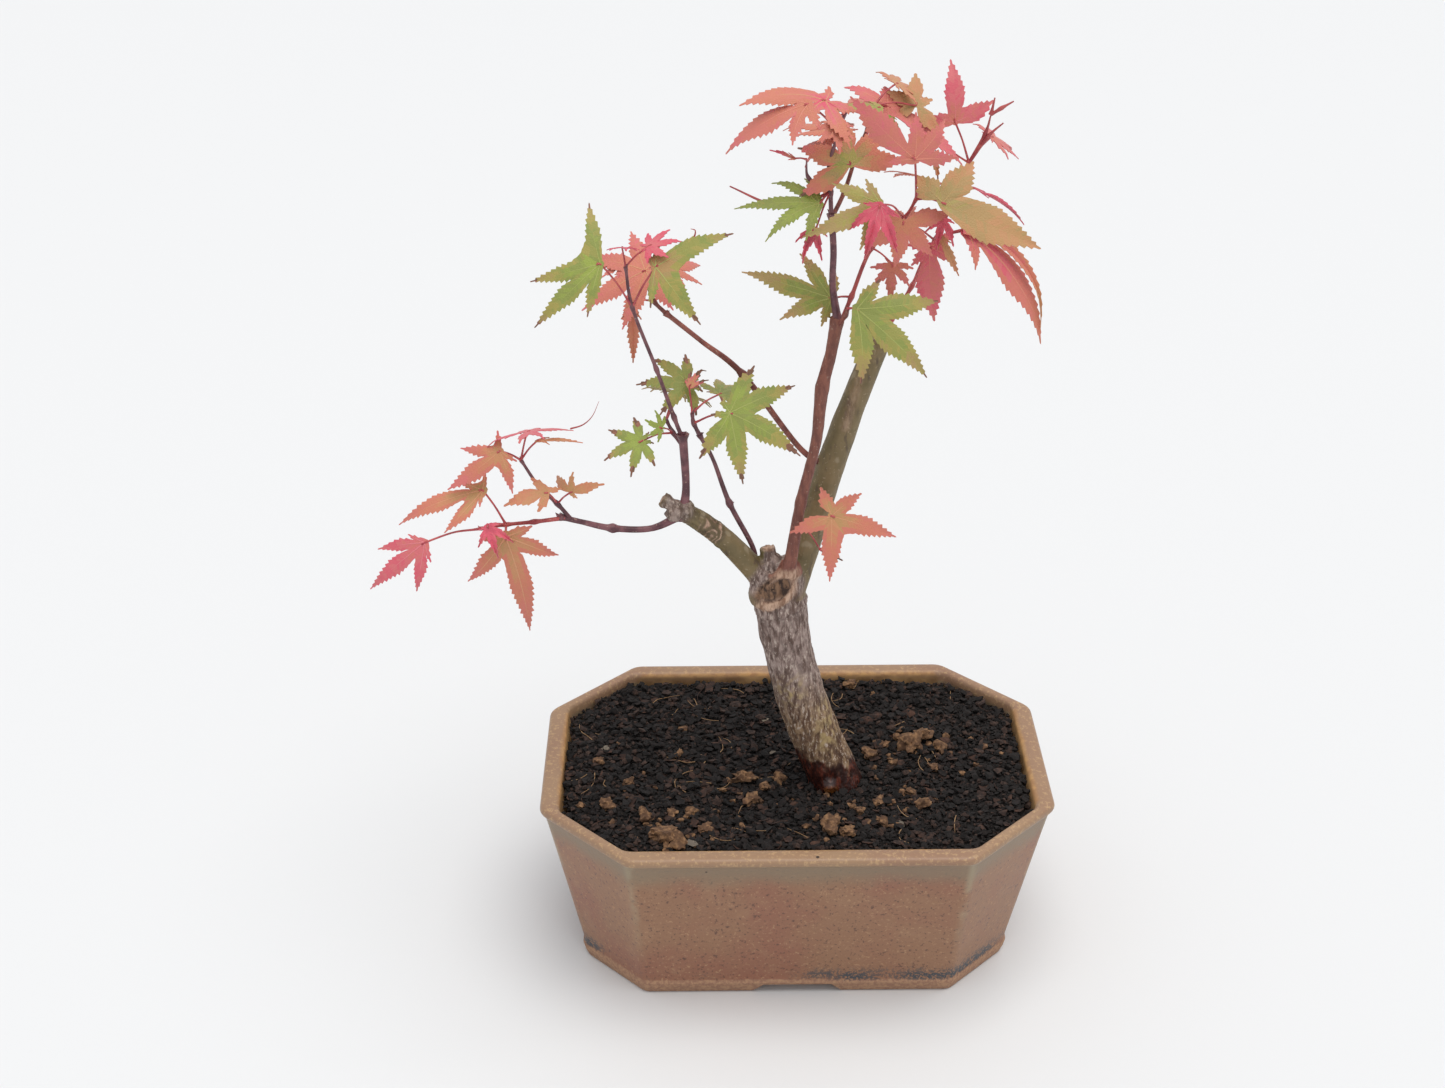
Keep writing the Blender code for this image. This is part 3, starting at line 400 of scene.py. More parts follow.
LOBE_STRAY = 4.0
SINUS = (0.3, 0.04)
LEAF_HEEL = 0.06
LEAF_DROOP = 0.16
LEAF_THICKNESS = 0.24
LOBE_BOWS = {"sickle": -0.07, "strip": -0.16, "tongue": 0.06, "drape": 0.05, "thin": 0.05}
TOOTH_SPACING = 2.4
TOOTH_DEPTH = 0.4
VEIN_LEAN = 0.8  # how far a side vein runs forward for each millimetre outwards

# The leaves that the rule adds behind the ones in front.
FILL_STALK = (9.0, 15.0)
FILL_BLADE = (17.0, 25.0)
FILL_RISE = (10.0, 45.0)
FILL_HEADINGS = (25.0, 155.0)
FILL_FACING = 30.0

# Autumn tints in the order in which a leaf turns, from green to withered.
LEAF_TINTS = (
    ("green", "97a548"),
    ("dull_green", "8c9549"),
    ("yellow_green", "a59a50"),
    ("olive", "aa915c"),
    ("tan", "bb8f5e"),
    ("ochre", "c68c62"),
    ("orange", "cb8161"),
    ("apricot", "ce7a63"),
    ("salmon", "cf7769"),
    ("rose", "d56d72"),
    ("pink", "d7566a"),
    ("crimson", "b8485a"),
    ("withered", "9a6450"),
    ("dry", "75523f"),
)
LEAF_PIECES = (  # the highest blade tint of each joined piece, its name and its slot
    (2.5, "green_leaves", "green_leaf"),
    (4.9, "olive_leaves", "olive_leaf"),
    (7.1, "orange_leaves", "orange_leaf"),
    (8.9, "salmon_leaves", "salmon_leaf"),
    (99.0, "pink_leaves", "pink_leaf"),
)
RIB_TINTS = {
    "green_leaves": ("lime_rib", "a8ae60"),
    "olive_leaves": ("tan_rib", "b79a63"),
    "orange_leaves": ("sand_rib", "d39a72"),
    "salmon_leaves": ("apricot_rib", "d98a74"),
    "pink_leaves": ("rose_rib", "dd7f86"),
}


# Places, colours and nodes.


def place(spot):
    """A spot in millimetres from the pot's middle, as a point in the frame."""
    return HOME + Vector(spot) * MM


def linear(code):
    """An sRGB hex colour as linear red, green, blue and alpha."""
    channels = []
    for i in (0, 2, 4):
        value = int(code[i : i + 2], 16) / 255
        channels.append(value / 12.92 if value <= 0.04045 else ((value + 0.055) / 1.055) ** 2.4)
    return (*channels, 1.0)


def ease(value, low, high):
    """0 below low, 1 above high, and a smooth step between."""
    share = min(1.0, max(0.0, (value - low) / (high - low)))
    return share * share * (3 - 2 * share)


USUAL = {"MapRange": {"interpolation_type": "SMOOTHSTEP"}, "Mix": {"data_type": "RGBA"}}


def put(tree, kind, *inputs, out=None, **settings):
    """Adds a node with its settings and sets or links the inputs it shows, in their order: None
    leaves one as it is, and a hex code is a colour. A kind in capitals is a Math node's operation.
    Gives the first output, or the one named."""
    if kind.isupper():
        kind, settings = "Math", {"operation": kind}
    made = tree.nodes.new("ShaderNode" + kind)
    for key, value in {**USUAL.get(kind, {}), **settings}.items():
        setattr(made, key, value)
    for socket, value in zip([one for one in made.inputs if one.enabled], inputs):
        if isinstance(value, bpy.types.NodeSocket):
            tree.links.new(value, socket)
        elif value is not None:
            socket.default_value = linear(value) if isinstance(value, str) else value
    shown = {one.name: one for one in made.outputs if one.enabled}
    return shown[out] if out else next(iter(shown.values()))


def finish_of(name, roughness, colour="ffffff", sheen=0.0):
    """A new Principled material: (material, put() for its nodes, its shader)."""
    made = bpy.data.materials.new(name)
    made.use_nodes = True
    shader = made.node_tree.nodes["Principled BSDF"]
    shader.inputs["Base Color"].default_value = linear(colour)
    shader.inputs["Roughness"].default_value = roughness
    shader.inputs["Sheen Weight"].default_value = sheen
    return made, partial(put, made.node_tree), shader


def wear(shader, results):
    """Links results to the shader's inputs of these names."""
    for name, result in results.items():
        shader.id_data.links.new(result, shader.inputs[name])


# Meshes.


class Heap:
    """Many small shapes gathered into one mesh: corners in millimetres, faces, each face's look."""

    def __init__(self):
        self.corners = []
        self.faces = []
        self.looks = []

    def add(self, corners, faces, looks=0):
        first = len(self.corners)
        self.corners += corners
        self.faces += [tuple(first + i for i in face) for face in faces]
        self.looks += looks if isinstance(looks, list) else [looks] * len(faces)

    def made(self, name, materials):
        """The heap as an object at the origin, wearing these materials."""
        mesh = bpy.data.meshes.new(name)
        mesh.from_pydata([place(corner) for corner in self.corners], [], self.faces)
        for one in materials:
            mesh.materials.append(one)
        mesh.polygons.foreach_set("material_index", self.looks)
        mesh.update()
        obj = bpy.data.objects.new(name, mesh)
        bpy.context.scene.collection.objects.link(obj)
        return obj


def choose(obj):
    """Makes this the only selected object and the active one."""
    bpy.ops.object.select_all(action="DESELECT")
    obj.select_set(True)
    bpy.context.view_layer.objects.active = obj


def apply_modifier(obj, name, kind, **settings):
    """Adds a modifier with its settings and applies it."""
    modifier = obj.modifiers.new(name, kind)
    for key, value in settings.items():
        setattr(modifier, key, value)
    choose(obj)
    bpy.ops.object.modifier_apply(modifier=name)


def smooth_shade(obj, angle):
    """Smooth shading, with edges sharper than this many degrees kept."""
    choose(obj)
    bpy.ops.object.shade_smooth_by_angle(angle=math.radians(angle))


def settle(obj, slot, *replaced):
    """The piece rides on the model's body and stands for these nodes, which it hides. The slot is not
    used.
    """
    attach(obj, "root")
    if replaced:
        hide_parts(*replaced)
    return obj


def tree_of(spots):
    """A tree that finds the nearest of these spots."""
    tree = KDTree(len(spots))
    for i, spot in enumerate(spots):
        tree.insert(spot, i)
    tree.balance()
    return tree


def smooth_path(points, spacing):
    """Spots and radii read about every spacing millimetres from a smooth curve through points."""
    marks = [Vector(spot) for spot, _ in points]
    radii = [radius for _, radius in points]
    marks = [2 * marks[0] - marks[1], *marks, 2 * marks[-1] - marks[-2]]
    radii = [radii[0], *radii, radii[-1]]
    path = []
    for i in range(1, len(marks) - 2):
        p0, p1, p2, p3 = marks[i - 1 : i + 3]
        steps = max(2, round((p2 - p1).length / spacing))
        for step in range(steps):
            t = step / steps
            spot = 0.5 * (
                2 * p1
                + (p2 - p0) * t
                + (2 * p0 - 5 * p1 + 4 * p2 - p3) * t**2
                + (3 * p1 - p0 - 3 * p2 + p3) * t**3
            )
            path.append((spot, radii[i] + (radii[i + 1] - radii[i]) * t))
    path.append((marks[-2], radii[-2]))
    return path


def shell_faces(steps, count):
    """The faces of a closed shell through rings of this many corners."""
    faces = [tuple(reversed(range(count)))]
    for i in range(steps):
        for k in range(count):
            a, b = i * count + k, i * count + (k + 1) % count
            faces.append((a, b, b + count, a + count))
    faces.append(tuple(steps * count + k for k in range(count)))
    return faces


def add_tube(heap, path, sides, look=0):
    """A closed round tube along (spot, radius) points."""
    corners = []
    side = None
    last = len(path) - 1
    for i, (spot, radius) in enumerate(path):
        ahead = (Vector(path[min(i + 1, last)][0]) - Vector(path[max(i - 1, 0)][0])).normalized()
        if side is None:
            side = ahead.orthogonal()
        side = (side - ahead * side.dot(ahead)).normalized()
        other = ahead.cross(side)
        for k in range(sides):
            turn = math.tau * k / sides
            corners.append(Vector(spot) + (side * math.cos(turn) + other * math.sin(turn)) * radius)
    heap.add(corners, shell_faces(last, sides), look)


# The pot.


def grown(outline, by):
    """An outline (length, width, cut) moved outwards by a distance on every side."""
    length, width, cut = outline
    return length + 2 * by, width + 2 * by, cut + 2 * by * (1 - math.tan(math.pi / 8))


def wall_at(height):
    """The outline of the pot's outer wall at a height, between base and rim."""
    share = height / POT_HEIGHT
    return tuple(a + (b - a) * share for a, b in zip(BASE, RIM))


def octagon(outline, height, round_by, steps=5):
    """Points round an eight-sided outline with rounded corners, counter-clockwise from above."""
    length, width, cut = outline
    x, y = length / 2, width / 2
    corners = [(x - cut, -y), (x, -y + cut), (x, y - cut), (x - cut, y)]
    corners += [(-a, b) for a, b in reversed(corners)]
    corners = [Vector(corner) for corner in corners]
    points = []
    reach = round_by * math.tan(math.pi / 8)
    for i, corner in enumerate(corners):
        back = (corners[i - 1] - corner).normalized() * reach
        ahead = (corners[(i + 1) % len(corners)] - corner).normalized() * reach
        for step in range(steps):
            t = step / (steps - 1)
            spot = corner + back * (1 - t) ** 2 + ahead * t**2
            points.append(Vector((spot.x, spot.y, height)))
    return points


def loft(name, rings, materials):
    """A closed shell through rings of points, capped at both ends."""
    heap = Heap()
    heap.add([point for ring in rings for point in ring], shell_faces(len(rings) - 1, len(rings[0])))
    return heap.made(name, materials)


def stoneware_glaze():
    """Reddish stoneware under a thin matt glaze, fired unevenly: it breaks to grey-green streaks
    down the corners and under the rim, to ochre on the rim's inner edge and to blue-black specks
    where it ends above the bare foot."""
    mat, add, shader = finish_of("glazed_stoneware", 0.42)
    at = add("Mapping", add("TexCoord", out="Object"), tuple(-HOME))
    axes = [add("SeparateXYZ", at, out=axis) for axis in "XYZ"]
    across, deep = add("ABSOLUTE", axes[0]), add("ABSOLUTE", axes[1])
    height = axes[2]
    patches = add("TexNoise", at, 0.5 / (22 * MM), 3, 0.55)
    speckle = add("TexNoise", at, 0.5 / (0.75 * MM), 2, 0.7)
    clouds = add("TexNoise", at, 0.5 / (7 * MM), 4, 0.55)
    # How far a point lies inside the rim's outline, and inside the outer wall at its height.
    diagonal = add("SUBTRACT", add("ADD", across, deep), (RIM[0] + RIM[1]) / 2 * MM - RIM[2] * MM)
    flats = add(
        "MAXIMUM", add("SUBTRACT", across, RIM[0] / 2 * MM), add("SUBTRACT", deep, RIM[1] / 2 * MM)
    )
    edge = add("MAXIMUM", add("MULTIPLY", diagonal, math.sqrt(0.5)), flats)
    shrink = (RIM[0] - BASE[0]) / 2 / POT_HEIGHT
    lean = add("MULTIPLY", add("SUBTRACT", POT_HEIGHT * MM, height), shrink)
    inside = add("MapRange", add("ADD", edge, lean), -4.0 * MM, -6.5 * MM)
    # The glaze on the walls.
    body = add("Mix", add("MapRange", patches, 0.38, 0.62), "91604a", "946c50")
    body = add("Mix", add("MULTIPLY", add("MapRange", clouds, 0.5, 0.75), 0.5), body, "a07a5c")
    body = add("Mix", add("MapRange", speckle, 0.56, 0.74), body, "ad8564")
    body = add("Mix", add("MapRange", speckle, 0.42, 0.3), body, "664537")
    # The grey-green band under the rim and the streaks down the corners.
    wavy = add("ADD", height, add("MULTIPLY", clouds, 9 * MM))
    under = add("MapRange", wavy, 63 * MM, 73 * MM)
    body = add("Mix", add("MULTIPLY", under, 0.75), body, "85765f")
    corner_x = add("ADD", add("MULTIPLY", height, 5 / POT_HEIGHT), 60 * MM)
    corner_y = add("ADD", add("MULTIPLY", height, 5 / POT_HEIGHT), 30 * MM)
    by_front = add("ABSOLUTE", add("SUBTRACT", across, corner_x))
    by_side = add("ABSOLUTE", add("SUBTRACT", deep, corner_y))
    far = add("MULTIPLY", add("MapRange", deep, 45 * MM, 40 * MM), 20 * MM)
    aside = add("MULTIPLY", add("MapRange", across, 78 * MM, 72 * MM), 20 * MM)
    from_corner = add("MINIMUM", add("ADD", by_front, far), add("ADD", by_side, aside))
    drip = add("ADD", from_corner, add("MULTIPLY", clouds, 3 * MM))
    fade = add("MapRange", wavy, 18 * MM, 66 * MM)
    streak = add("MULTIPLY", add("MapRange", drip, 4.6 * MM, 1.8 * MM), fade)
    streak = add(
        "MULTIPLY", streak, add("MapRange", add("TexNoise", at, 0.5 / (5 * MM), 3, 0.55), 0.35, 0.6)
    )
    body = add("Mix", add("MULTIPLY", streak, 0.5), body, "a89c80")
    # The rim, its inner edge and the inner wall.
    rim_top = add("MapRange", height, 71.3 * MM, 72.6 * MM)
    rim_colour = add("Mix", add("MapRange", patches, 0.3, 0.7), "96745c", "9e7f62")
    rim_colour = add("Mix", add("MapRange", speckle, 0.5, 0.7), rim_colour, "b5946f")
    body = add("Mix", rim_top, body, rim_colour)
    lip = add("MapRange", add("ADD", edge, add("MULTIPLY", clouds, 3 * MM)), -4 * MM, -6.2 * MM)
    ochre = add(
        "Mix",
        add("MapRange", add("TexNoise", at, 0.5 / (1.6 * MM), 3, 0.55), 0.4, 0.6),
        "c4955a",
        "a97a4a",
    )
    body = add("Mix", add("MULTIPLY", add("MULTIPLY", lip, rim_top), 0.85), body, ochre)
    inner = add("Mix", add("MapRange", clouds, 0.35, 0.65), "a8845a", "7a5c3e")
    deep_in = add("MULTIPLY", inside, add("MapRange", height, 75.2 * MM, 73.4 * MM))
    body = add("Mix", deep_in, body, inner)
    # The bare foot, and the specks where the glaze ends.
    line = add("ADD", height, add("MULTIPLY", patches, 2 * MM))
    bare = add("MapRange", line, 8.2 * MM, 7.2 * MM)
    clay = add("Mix", add("MapRange", speckle, 0.35, 0.65), "96705a", "b08a6c")
    body = add("Mix", bare, body, clay)
    smoke = add(
        "MULTIPLY", add("MapRange", line, 17 * MM, 10 * MM), add("MapRange", line, 6.5 * MM, 8.5 * MM)
    )
    smoke = add("MULTIPLY", smoke, add("MapRange", patches, 0.42, 0.6))
    ash = add("TexNoise", at, 0.5 / (0.6 * MM), 2, 0.8)
    dots = add("MapRange", add("ADD", ash, add("MULTIPLY", smoke, 0.13)), 0.55, 0.6)
    body = add("Mix", add("MULTIPLY", dots, smoke), body, "43464b")
    # Small burnt-out pits.
    pit_cells = add("TexVoronoi", at, 1 / (17 * MM), out="Distance")
    pits = add("MapRange", pit_cells, 0.05, 0.03)
    body = add("Mix", pits, body, "38281f")
    matt = add("ADD", add("MULTIPLY", bare, 0.35), add("MULTIPLY", speckle, 0.25))
    rough = add("SUBTRACT", add("ADD", speckle, add("MULTIPLY", clouds, 0.6)), pits)
    bump = add("Bump", 1.0, 0.12 * MM, None, rough)
    wear(shader, {"Base Color": body, "Roughness": add("ADD", matt, 0.3), "Normal": bump})
    return mat


def arch_bar(name, widths, along_x):
    """A bar with sloping sides that opens an arch under the pot."""
    bottom, top = widths
    reach = RIM[0]
    rings = []
    for end in (-reach, reach):
        profile = (
            (-bottom / 2, -1.0), (bottom / 2, -1.0), (top / 2, FOOT_HEIGHT), (-top / 2, FOOT_HEIGHT)
        )
        if along_x:
            rings.append([Vector((end, wide, high)) for wide, high in profile])
        else:
            rings.append([Vector((-wide, end, high)) for wide, high in profile])
    return loft(name, rings, [])


def make_pot():
    """The pot: a lofted shell with softened corners, a rolled rim and four arches in its foot."""
    crease = POT_HEIGHT - RIM_BAND
    inner_floor = grown(wall_at(FLOOR_TOP), -WALL)
    inner_rim = grown(RIM, -RIM_WIDTH)
    rings = [
        octagon(grown(BASE, -0.7), 0.0, 5),
        octagon(grown(wall_at(0.6), -0.1), 0.7, 6),
        octagon(grown(wall_at(3), 0.35), 3.0, 6),
        octagon(grown(wall_at(FOOT_BAND), 0.4), FOOT_BAND, 6),
        octagon(grown(wall_at(FOOT_BAND), 0.1), FOOT_BAND + 0.7, 6),
        octagon(grown(wall_at(FOOT_BAND + 1), -0.4), FOOT_BAND + 1.4, 6),
    ]
    for height in range(10, 70, 6):
        rings.append(octagon(grown(wall_at(height), -0.6 - 0.4 * height / crease), height, 7))
    rings += [
        octagon(grown(wall_at(crease), -1.3), crease - 1.6, 7),
        octagon(grown(wall_at(crease), -0.9), crease - 0.7, 7),
    ]
    # The outer bead of the rim, its nearly flat top and its inner edge.
    for turn in range(-70, 91, 20):
        out = 1.9 * math.cos(math.radians(turn)) - 1.9
        up = 1.9 * math.sin(math.radians(turn)) + POT_HEIGHT - 2.1
        rings.append(octagon(grown(RIM, out), up, 7))
    rings += [
        octagon(grown(RIM, -3.2), POT_HEIGHT - 0.05, 7),
        octagon(grown(RIM, -4.6), POT_HEIGHT, 7),
        octagon(grown(RIM, -6.2), POT_HEIGHT - 0.15, 7),
        octagon(grown(RIM, -7.2), POT_HEIGHT - 0.7, 7),
        octagon(grown(RIM, -7.8), POT_HEIGHT - 1.7, 7),
        octagon(grown(inner_rim, -0.1), POT_HEIGHT - 3.5, 7),
        octagon(grown(inner_rim, -1.6), POT_HEIGHT - 9, 7),
        octagon(inner_floor, FLOOR_TOP, 7),
    ]
    pot = loft("glazed_pot", rings, [stoneware_glaze()])
    ring_inside = grown(BASE, -FOOT_RING)
    tools = [
        loft("recess", [octagon(ring_inside, -1, 4), octagon(ring_inside, FOOT_HEIGHT, 4)], []),
        arch_bar("front_arch", FRONT_ARCH, False),
        arch_bar("side_arch", SIDE_ARCH, True),
    ]
    for spot in DRAIN_PLACES:
        bpy.ops.object.select_all(action="DESELECT")
        bpy.ops.mesh.primitive_cylinder_add(
            vertices=32,
            radius=DRAIN_RADIUS * MM,
            depth=4 * FLOOR_TOP * MM,
            location=place((spot, 0, 0)),
        )
        tools.append(bpy.context.active_object)
    for tool in tools:
        apply_modifier(pot, "cut", "BOOLEAN", operation="DIFFERENCE", solver="EXACT", object=tool)
        bpy.data.objects.remove(tool)
    apply_modifier(
        pot,
        "soften",
        "BEVEL",
        width=0.5 * MM,
        segments=2,
        limit_method="ANGLE",
        angle_limit=math.radians(40),
    )
    smooth_shade(pot, 35)
    return settle(pot, "pot_glaze", "pot")


# The soil.


def soil_finish(name, dark, light, size):
    """Moist compost and clods: dull, and mottled by the grains in it."""
    mat, add, shader = finish_of(name, 0.9)
    at = add("TexCoord", out="Object")
    tone = add("MapRange", add("TexNoise", at, 0.5 / (size * MM), 4, 0.55), 0.4, 0.7)
    bumps = add("TexNoise", at, 0.5 / (size / 3 * MM), 4, 0.55)
    bump = add("Bump", 1.0, 0.25 * MM, None, bumps)
    wear(shader, {"Base Color": add("Mix", tone, dark, light), "Normal": bump})
    return mat


def rock(rng, rounds, rough):
    """Corners and faces of a rough lump about 1 across, from an icosphere."""
    bm = bmesh.new()
    bmesh.ops.create_icosphere(bm, subdivisions=rounds, radius=0.5)
    shift = Vector([rng.uniform(-50, 50) for _ in range(3)])
    for vert in bm.verts:
        coarse, fine = noise.noise(vert.co * 2.2 + shift), noise.noise(vert.co * 6 + shift)
        vert.co *= 1 + rough * (coarse + 0.5 * fine)
        vert.co.z *= 0.8
    corners = [vert.co.copy() for vert in bm.verts]
    faces = [tuple(vert.index for vert in face.verts) for face in bm.faces]
    bm.free()
    return corners, faces


def in_pot(x, y, margin):
    """Whether a place lies inside the rim by this margin."""
    length, width, cut = grown(RIM, -RIM_WIDTH - margin)
    x, y = abs(x), abs(y)
    return x < length / 2 and y < width / 2 and x + y < length / 2 + width / 2 - cut


def scatter(heap, rng, shapes, spot, size, ground, look, flat=1.0, sunk=0.25):
    """One of the shapes, turned at random, lying on the ground at a spot."""
    corners, faces = rng.choice(shapes)
    turn = Matrix.Rotation(rng.uniform(0, math.tau), 3, "Z") @ Matrix.Rotation(
        rng.uniform(-0.6, 0.6), 3, "X"
    )
    stretch = Matrix.Diagonal((size * rng.uniform(0.8, 1.3), size * rng.uniform(0.7, 1.1), size * flat))
    x, y = spot
    lift = Vector((x, y, ground(x, y) + size * flat * (0.5 - sunk)))
    whole = turn @ stretch
    heap.add([whole @ corner + lift for corner in corners], faces, look)


# Crumbs and grit: the piece, how many, and the middle and the spread of the logarithm of their width.
CRUMBS = (("soil_crumbs", 8600, 0.5, 0.45), ("soil_grit", 9000, 0.1, 0.3))
LARGEST_CRUMB = 3.4
BLACK_SHARE = 0.76
FIBRES = 64
SHREDS = 300
CLODS = (  # the brown clods that lie on top: place and width
    (26, 56, 4), (-20, -11, 4.6), (-6, -11, 3.6), (48, 10, 6.4), (54, 17, 5), (60, 8, 4),
    (31, 6, 4), (40, -1, 3), (-18, -26, 4.4), (-74, -31, 4), (-59, -39, 4.8), (-49, -34, 3),
    (-41, -34, 3.2), (-53, -51, 6), (-46, -56, 5), (-36, -46, 3.6), (12, -45, 5), (18, -48, 3.6),
    (32, -41, 3.6), (49, -30, 4), (45, -21, 3), (32, -28, 3.2), (56, -5, 3), (-46, 5, 3),
    (-66, -15, 3), (-79, 1, 2.6), (44, 16, 3.4), (37, 12, 3), (-12, -16, 3), (24, -34, 2.8),
)


def make_soil():
    """The soil: an uneven bed, crumbs and shreds on it, brown clods, root fibres and bits of bark."""
    rng = random.Random(3)
    bed = bpy.data.objects.new("soil_bed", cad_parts["soil"].data.copy())
    bpy.context.scene.collection.objects.link(bed)
    apply_modifier(bed, "weld", "WELD", merge_threshold=0.01 * MM)
    apply_modifier(bed, "remesh", "REMESH", mode="VOXEL", voxel_size=1.6 * MM)
    top = HOME.z + (SOIL_LEVEL - 5) * MM
    for vert in bed.data.vertices:
        if vert.co.z > top:
            spot = vert.co / MM
            vert.co.z += (0.9 * noise.noise(spot / 9) + 0.5 * noise.noise(spot / 2.5)) * MM
    bed.data.materials.clear()
    bed.data.materials.append(soil_finish("moist_compost", "0c0807", "1a120f", 1.6))
    smooth_shade(bed, 60)
    settle(bed, "potting_soil", "soil")
    surface = BVHTree.FromObject(bed, bpy.context.evaluated_depsgraph_get())

    def ground(x, y):
        hit = surface.ray_cast(place((x, y, 200)), Vector((0, 0, -1)))[0]
        return (hit.z - HOME.z) / MM if hit else SOIL_LEVEL

    def somewhere(margin):
        while True:
            x, y = rng.uniform(-92, 92), rng.uniform(-62, 62)
            if in_pot(x, y, margin):
                return x, y

    lumps = [rock(rng, 1, 1.3) for _ in range(12)]
    tints = [
        soil_finish("black_crumbs", "0e0a09", "211816", 0.7),
        soil_finish("brown_crumbs", "2a1c17", "48352c", 0.7),
    ]
    for name, count, middle, spread in CRUMBS:
        crumbs = Heap()
        for _ in range(count):
            spot = somewhere(0.6)
            size = min(LARGEST_CRUMB, rng.lognormvariate(middle, spread))
            look = 0 if rng.random() < BLACK_SHARE else 1
            scatter(crumbs, rng, lumps, spot, size, ground, look, rng.uniform(0.5, 0.9), -0.15)
        settle(crumbs.made(name, tints), "potting_soil")

    clods = Heap()
    boulders = [rock(rng, 3, 0.95) for _ in range(6)]
    pebbles = [rock(rng, 2, 0.9) for _ in range(6)]
    for x, y, size in CLODS:
        scatter(clods, rng, boulders, (x, y), 1.4 * size, ground, 0, 0.85, 0.05)
        for _ in range(4):
            beside = (x + rng.gauss(0, 9), y + rng.gauss(0, 7))
            if in_pot(*beside, 1.5):
                scatter(clods, rng, pebbles, beside, rng.uniform(1.4, 3.0), ground, 0, 0.8, 0.0)
    earth = soil_finish("dry_clods", "583e2b", "94704f", 1.0)
    pieces = clods.made("soil_clods", [earth])
    smooth_shade(pieces, 50)
    settle(pieces, "potting_soil")

    litter = Heap()
    for _ in range(FIBRES):
        x, y = somewhere(6)
        z = ground(x, y) + 1.0
        heading = rng.uniform(0, math.tau)
        bend = rng.uniform(-0.5, 0.5)
        step = rng.uniform(1.5, 4.0)
        run = []
        for i in range(5):
            run.append(((x, y, z + rng.uniform(0, 1.2)), 0.2 * (1 - 0.12 * i)))
            x += math.cos(heading) * step
            y += math.sin(heading) * step
            heading += bend
            if not in_pot(x, y, 1.5):
                break
        if len(run) > 2:
            add_tube(litter, smooth_path(run, 1.2), 4, 0 if rng.random() < 0.7 else 1)
    for _ in range(SHREDS):
        x, y = somewhere(1.5)
        scatter(
            litter,
            rng,
            lumps,
            (x, y),
            rng.uniform(2.0, 4.5),
            ground,
            2 if rng.random() < 0.02 else 1,
            0.2,
            -1.0,
        )
    straw = [
        soil_finish("root_fibre", "8a6b4c", "a98a66", 2.0),
        soil_finish("bark_shreds", "2c1c16", "4f3529", 1.5),
        soil_finish("pale_flakes", "6b6258", "8d8272", 1.5),
    ]
    settle(litter.made("soil_litter", straw), "potting_soil")


# The old wood.

SCAR_MIDDLE = Vector((-9.1, -17.2, 161.5))
SCAR_LONG = Vector((7.4, -0.2, 6.1))  # half its length, towards its upper right end
SCAR_SHORT = Vector((-2.5, 1.4, 3.8))  # half its width, towards its upper left side
STUB = (((-10.3, -9.0, 165.0), 4.6), ((-11.0, -9.0, 170.5), 3.4), ((-11.9, -9.0, 175.6), 2.9))
HEAD_LUMPS = (  # the healed head of the trunk, swollen round old cuts
    ((-10.5, -9.0, 168.0), 5.2),
    ((-12.5, -11.5, 157.0), 6.6),
    ((-13.5, -10.0, 165.0), 5.2),
    ((-4.0, -10.5, 166.5), 6.0),
)
LEFT_LUMPS = (((-46.0, -18.0, 195.2), 3.5), ((-42.2, -18.2, 196.6), 3.4))
LEFT_KNUCKLE = (-45.5, -17.8, 197.0)
LEFT_CUT = (((-43.0, -18.0, 195.0), 2.8), ((-50.7, -17.0, 200.6), 2.9))
LEFT_CUT_FACE = Vector((-50.3, -17, 200.3))
LEFT_CUT_WAY = Vector((-0.8, 0.1, 0.58))
ROOT_CUT = (((13.0, -13.0, 77.0), 4.0), ((13.4, -17.5, 74.4), 3.2), ((13.8, -20.4, 72.4), 2.5))
ROOT_FACE = (13.9, -21.2, 72.0)
SWIRLS = (-32.0, -19.5, 187.5)  # pale scribbled marks in the left bough's bark
# Painted highlight: pale yellowish patches on the trunk's front and right about its middle, each a place
# and a width.
PAINTED_HIGHLIGHT_PATCHES = (((-2.8, -17, 117), 11), ((13, -15, 104.5), 12), ((12, -16, 94), 9))
# Painted shade: a darker patch on the trunk's front left, noted with the cracks.
PAINTED_SHADE_PATCH = (-6, -15, 112)
OLD_HEAD = (-8.5, -11, 161.5)  # the boughs' bark is old about this spot
KNOBBLY_HEAD = (-10, -10, 166)
FRONT_NODES = ((-0.3, -17, 198.5), (7, -15.5, 243.9), (12.2, -14, 269.5), (-4, -15.5, 172))
RIGHT_NODES = ((12.3, 0, 206.4), (27.3, 5, 251))
LONG_SCAR = (Vector((20.9, -1.8, 240.7)), Vector((16.8, -3.4, 222.4)))
HEAD_CREASE = 149.5  # the height of the crease under the trunk's head
WET_HEIGHT = 84.5  # how high the foot is wet
# The pale note also holds a painted highlight on the trunk, and the crack note a painted shade on its
# left.
BARK_NOTES = ("young", "red", "wet", "pale", "cut", "hollow", "crack")


